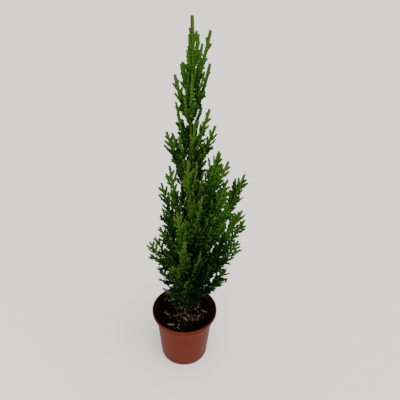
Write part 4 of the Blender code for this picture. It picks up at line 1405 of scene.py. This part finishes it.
class CYPRESS_OT_foliage(Operator):
    """Grows the scaly sprays: one piece for each limb, and short sprays along the trunk between them"""

    bl_idname = "cypress.foliage"
    bl_label = "Sprays"

    def execute(self, context):
        look = context.scene.cypress_foliage
        greens = spray_greens(look)
        dice = random.Random(look.seed)
        sprays = sprays_of_limbs()
        grower = Grower(look, Spaces(sprays), dice)
        for own, spray in enumerate(sprays):
            shoots = grower.spray(spray, own, self.spray_tone(spray, dice))
            piece = scaly_piece(spray.name + "_foliage", shoots, greens, dice)
            dress(piece, "foliage", spray.name + "_spray")

        def join(name, sprays, painted_shade):
            """Grows sprays that mingle with the limbs, and so stand for no solid, as one piece."""
            shoots = []
            for spray in sprays:
                # each spray's green is lowered by its painted shade
                shoots += grower.spray(spray, None, self.spray_tone(spray, dice) - painted_shade(spray))
            dress(scaly_piece(name, shoots, greens, dice), "foliage")

        inner_sprays = [limb_spray(limb) for limb in INNER_LIMBS]
        join("trunk_foliage", self.short_sprays(dice) + inner_sprays, self.painted_shade)
        side_sprays = [limb_spray(limb) for limb in SIDE_LIMBS]
        join("side_foliage", side_sprays, lambda spray: SIDE_PAINTED_SHADE)
        carriers = sprays[:-1] + side_sprays
        join("bough_foliage_1", self.bough_sprays(carriers[::2], dice), self.painted_shade)
        join("bough_foliage_2", self.bough_sprays(carriers[1::2], dice), self.painted_shade)
        return {"FINISHED"}

    def facing(self, spray):
        """1 for a spray in front of the crown's middle, and a little under 0 for one behind it."""
        tip = spray.curve.end
        return max(BACK_TONE, -tip.y / math.hypot(tip.x - CROWN_MIDDLE, tip.y, FRONT_BLEND))

    def lit(self, spray):
        """The share of the front's light that a spray's height gets: most of it half way up the crown."""
        fall = FRONT_FALL * min(1, max(0, spray.high - FRONT_TO) / FRONT_FADE)
        return max(FOOT_LIT, min(1, max(0, spray.high) / FRONT_FROM) ** FRONT_RISE - fall)

    def spray_tone(self, spray, dice):
        """Lighter greens towards the top of the crown, painted light on its front and painted shade on one side
        of its foot, a little different on every spray.
        """
        tip = spray.curve.end
        front = self.facing(spray)
        # painted shade on one side of the crown's foot, fading upwards
        aside = abs((math.degrees(math.atan2(tip.y, tip.x)) - SHADED_AZIMUTH + 180) % 360 - 180)
        shade = SHADED_TONE * max(0, 1 - aside / SHADED_WIDTH) * (1 - spray.high)
        # painted light on the front of the crown, less the painted shade of its shaded side
        light = FRONT_PAINTED_LIGHT * self.lit(spray) * front - shade
        return FOOT_TONE + HEIGHT_TONE * tip.z / LEADER_TIP.z + light + dice.uniform(-TONE_PLAY, TONE_PLAY)

    def painted_shade(self, spray):
        """How much painted shade darkens the short sprays inside the crown, most of all low down."""
        shown = FRONT_SHOWN * max(0, self.facing(spray)) * self.lit(spray)
        return (INNER_PAINTED_SHADE + FOOT_PAINTED_SHADE * (1 - spray.high)) * (1 - shown)

    def bough_sprays(self, sprays, dice):
        """Short sprays on the lower part of the limbs."""
        short = []
        for spray in sprays:
            step = BOUGH_SPRAY_STEP * (1 + TOP_STEP_GAIN * spray.high) / length_of(spray.curve)
            covered = BOUGH_SPRAYS_TO * (1 - TOP_BOUGH_LOSS * spray.high**3)
            lean = BOUGH_SPRAY_LEAN - TOP_LEAN_LOSS * spray.high
            for k in range(round(covered / step)):
                share = (k + 1) * step
                way = way_on(spray.curve, share)
                start = point_on(spray.curve, share)
                within = min(BOUGH_SPRAYS_WITHIN, FOOT_WITHIN + FOOT_WIDENING * (start.z - SOIL_LEVEL))
                if math.hypot(start.x - CROWN_MIDDLE, start.y) > within:
                    break
                turn = Matrix.Rotation(k * math.radians(GOLDEN_TURN), 3, way)
                aside = turn @ way.cross(spray.side)
                end = start + (way + lean * aside).normalized() * dice.uniform(*BOUGH_REACH) * MM
                bend = (start + end) / 2 + way * BOUGH_SPRAY_BOW
                side = (end - start).cross(aside).normalized()
                roll = dice.uniform(0, math.pi)
                curve = Curve(start, bend, end)
                short.append(Spray("inner", curve, side, roll, BOUGH_SPRAY_SPREAD, spray.high))
        return short

    def short_sprays(self, dice):
        """Short sprays straight from the trunk, all round it, apart from the stretches that are bare."""
        sprays = []
        height, azimuth = INNER_FROM, 0.0
        while height < INNER_TO:
            high = (height - INNER_FROM) / (INNER_TO - INNER_FROM)
            if not any(low < height < top and abs(azimuth - turn) < wide for low, top, turn, wide in BARE):
                reach = dice.uniform(*INNER_REACH) * (1 - TOP_REACH_LOSS * high)
                rise = reach * dice.uniform(*INNER_RISE) * (1 + TOP_RISE_GAIN * high)
                roll = dice.uniform(0, INNER_ROLL)
                limb = Limb("inner", height, azimuth, reach, height + rise, INNER_SPREAD * reach, roll)
                sprays.append(limb_spray(limb))
            height += INNER_STEP * (1 + TOP_STEP_GAIN * high)
            azimuth = (azimuth + GOLDEN_TURN) % 360
        return sprays


class CYPRESS_OT_dry_sprays(Operator):
    """Drops dead, straw-coloured shoots on the compost round the trunk"""

    bl_idname = "cypress.dry_sprays"
    bl_label = "Dry sprays"

    def execute(self, context):
        look = context.scene.cypress_foliage
        dice = random.Random(DRY_SEED)
        foot = trunk_point(TRUNK_FOOT)
        shoots = []
        for _ in range(context.scene.cypress_compost.dry_sprays):
            turn = dice.uniform(0, math.tau)
            out = dice.uniform(*DRY_OUT) * MM
            start = Vector((foot.x + out * math.cos(turn), foot.y + out * math.sin(turn), 0))
            heading = dice.uniform(0, math.tau)
            length = dice.uniform(*DRY_LENGTH) * MM
            main = self.lying(start, heading, length, look.width * DRY_WIDTH)
            shoots.append(main)
            for at in DRY_BRANCH_AT:
                if at < len(main.points) - 1 and dice.random() < DRY_BRANCH_SHARE:
                    aside = heading + dice.choice((-DRY_BRANCH_TURN, DRY_BRANCH_TURN))
                    root = Vector(main.points[at])
                    length = dice.uniform(*DRY_BRANCH_LENGTH) * MM
                    shoots.append(self.lying(root, aside, length, look.width * DRY_BRANCH_WIDTH))
        greens = [bpy.data.materials[name] for name in SPRAY_FINISHES]
        dress(scaly_piece("dry_sprays", shoots, greens, dice), "foliage")
        return {"FINISHED"}

    def lying(self, start, heading, length, width):
        """A dead shoot that lies on the compost."""
        count = max(2, round(length / DRY_RING))
        way = Vector((math.cos(heading), math.sin(heading), 0))
        points = [start + way * length * k / count for k in range(count + 1)]
        points = np.array([(point.x, point.y, fine_soil(point.x, point.y) + DRY_LIFT) for point in points])
        ways = unit(np.diff(points, axis=0))
        widths = np.full(count, width)
        return Shoot(points, np.concatenate([ways, ways[-1:]]), np.array(UP), widths, None, 0)


class CYPRESS_OT_stage(Operator):
    """Sets the pale floor, the soft lights and the camera at the photograph's angle"""

    bl_idname = "cypress.stage"
    bl_label = "Stage"

    def execute(self, context):
        look = context.scene.cypress_stage
        made = Look("pale_floor", Roughness=0.85)
        # painted shade: faint darker patches across the floor
        patch = made.cloud(0.6, 2.0)
        made.finish(Base_Color=made.mix(0.3 * patch, look.floor, look.patch))
        square = ((-1, -1), (1, -1), (1, 1), (-1, 1))
        corners = [(FLOOR_HALF * x, FLOOR_HALF * y, FLOOR_LEVEL) for x, y in square]
        mesh_piece("floor", corners, [(0, 1, 2, 3)], [made.material])
        world = bpy.data.worlds.new("soft_sky")
        world.use_nodes = True
        sky = world.node_tree.nodes["Background"]
        sky.inputs["Color"].default_value = (*look.tint, 1)
        sky.inputs["Strength"].default_value = look.sky
        context.scene.world = world
        self.soft_light("key", "SUN", KEY_PLACE, look.key).angle = math.radians(KEY_SPREAD)
        self.soft_light("fill", "AREA", FILL_PLACE, look.fill).size = FILL_SIZE
        camera = placed("camera", bpy.data.cameras.new("camera"))
        camera.data.lens = CAMERA_LENS
        camera.data.sensor_width = SENSOR
        pitch = Matrix.Rotation(math.radians(90 - CAMERA_PITCH), 4, "X")
        roll = Matrix.Rotation(math.radians(CAMERA_ROLL), 4, "Z")
        camera.matrix_world = Matrix.Translation(CAMERA_PLACE) @ pitch @ roll
        context.scene.camera = camera
        return {"FINISHED"}

    def soft_light(self, name, kind, place, power):
        """A lamp that shines at the middle of the crown."""
        lamp = bpy.data.lights.new(name, kind)
        lamp.energy = power
        made = placed(name, lamp)
        aim = LIGHT_AIM - Vector(place)
        made.matrix_world = Matrix.Translation(place) @ aim.to_track_quat("-Z", "Y").to_matrix().to_4x4()
        return lamp


class CYPRESS_PT_panel(Panel):
    """Lists the pieces of the potted cypress and their settings"""

    bl_idname = "CYPRESS_PT_panel"
    bl_label = "Potted Lawson Cypress"
    bl_space_type = "VIEW_3D"
    bl_region_type = "UI"
    bl_category = "Cypress"

    def draw(self, context):
        for look, _ in LOOKS:
            settings = getattr(context.scene, look)
            box = self.layout.box()
            for name in settings.__annotations__:
                box.prop(settings, name)
        for operator in OPERATORS:
            self.layout.operator(operator.bl_idname)


LOOKS = (
    ("cypress_pot", PotLook),
    ("cypress_compost", CompostLook),
    ("cypress_bark", BarkLook),
    ("cypress_foliage", FoliageLook),
    ("cypress_stage", StageLook),
)
OPERATORS = (
    CYPRESS_OT_pot,
    CYPRESS_OT_compost,
    CYPRESS_OT_chips,
    CYPRESS_OT_trunk,
    CYPRESS_OT_boughs,
    CYPRESS_OT_foliage,
    CYPRESS_OT_dry_sprays,
    CYPRESS_OT_stage,
)


def register():
    for name, look in LOOKS:
        bpy.utils.register_class(look)
        setattr(bpy.types.Scene, name, PointerProperty(type=look))
    for kind in (*OPERATORS, CYPRESS_PT_panel):
        bpy.utils.register_class(kind)


def unregister():
    for kind in reversed((*OPERATORS, CYPRESS_PT_panel)):
        bpy.utils.unregister_class(kind)
    for name, look in reversed(LOOKS):
        delattr(bpy.types.Scene, name)
        bpy.utils.unregister_class(look)


def main():
    register()
    bpy.ops.cypress.pot()
    bpy.ops.cypress.compost()
    bpy.ops.cypress.chips()
    bpy.ops.cypress.trunk()
    bpy.ops.cypress.boughs()
    bpy.ops.cypress.foliage()
    bpy.ops.cypress.dry_sprays()
    bpy.ops.cypress.stage()
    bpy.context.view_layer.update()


if __name__ == "__main__":
    main()
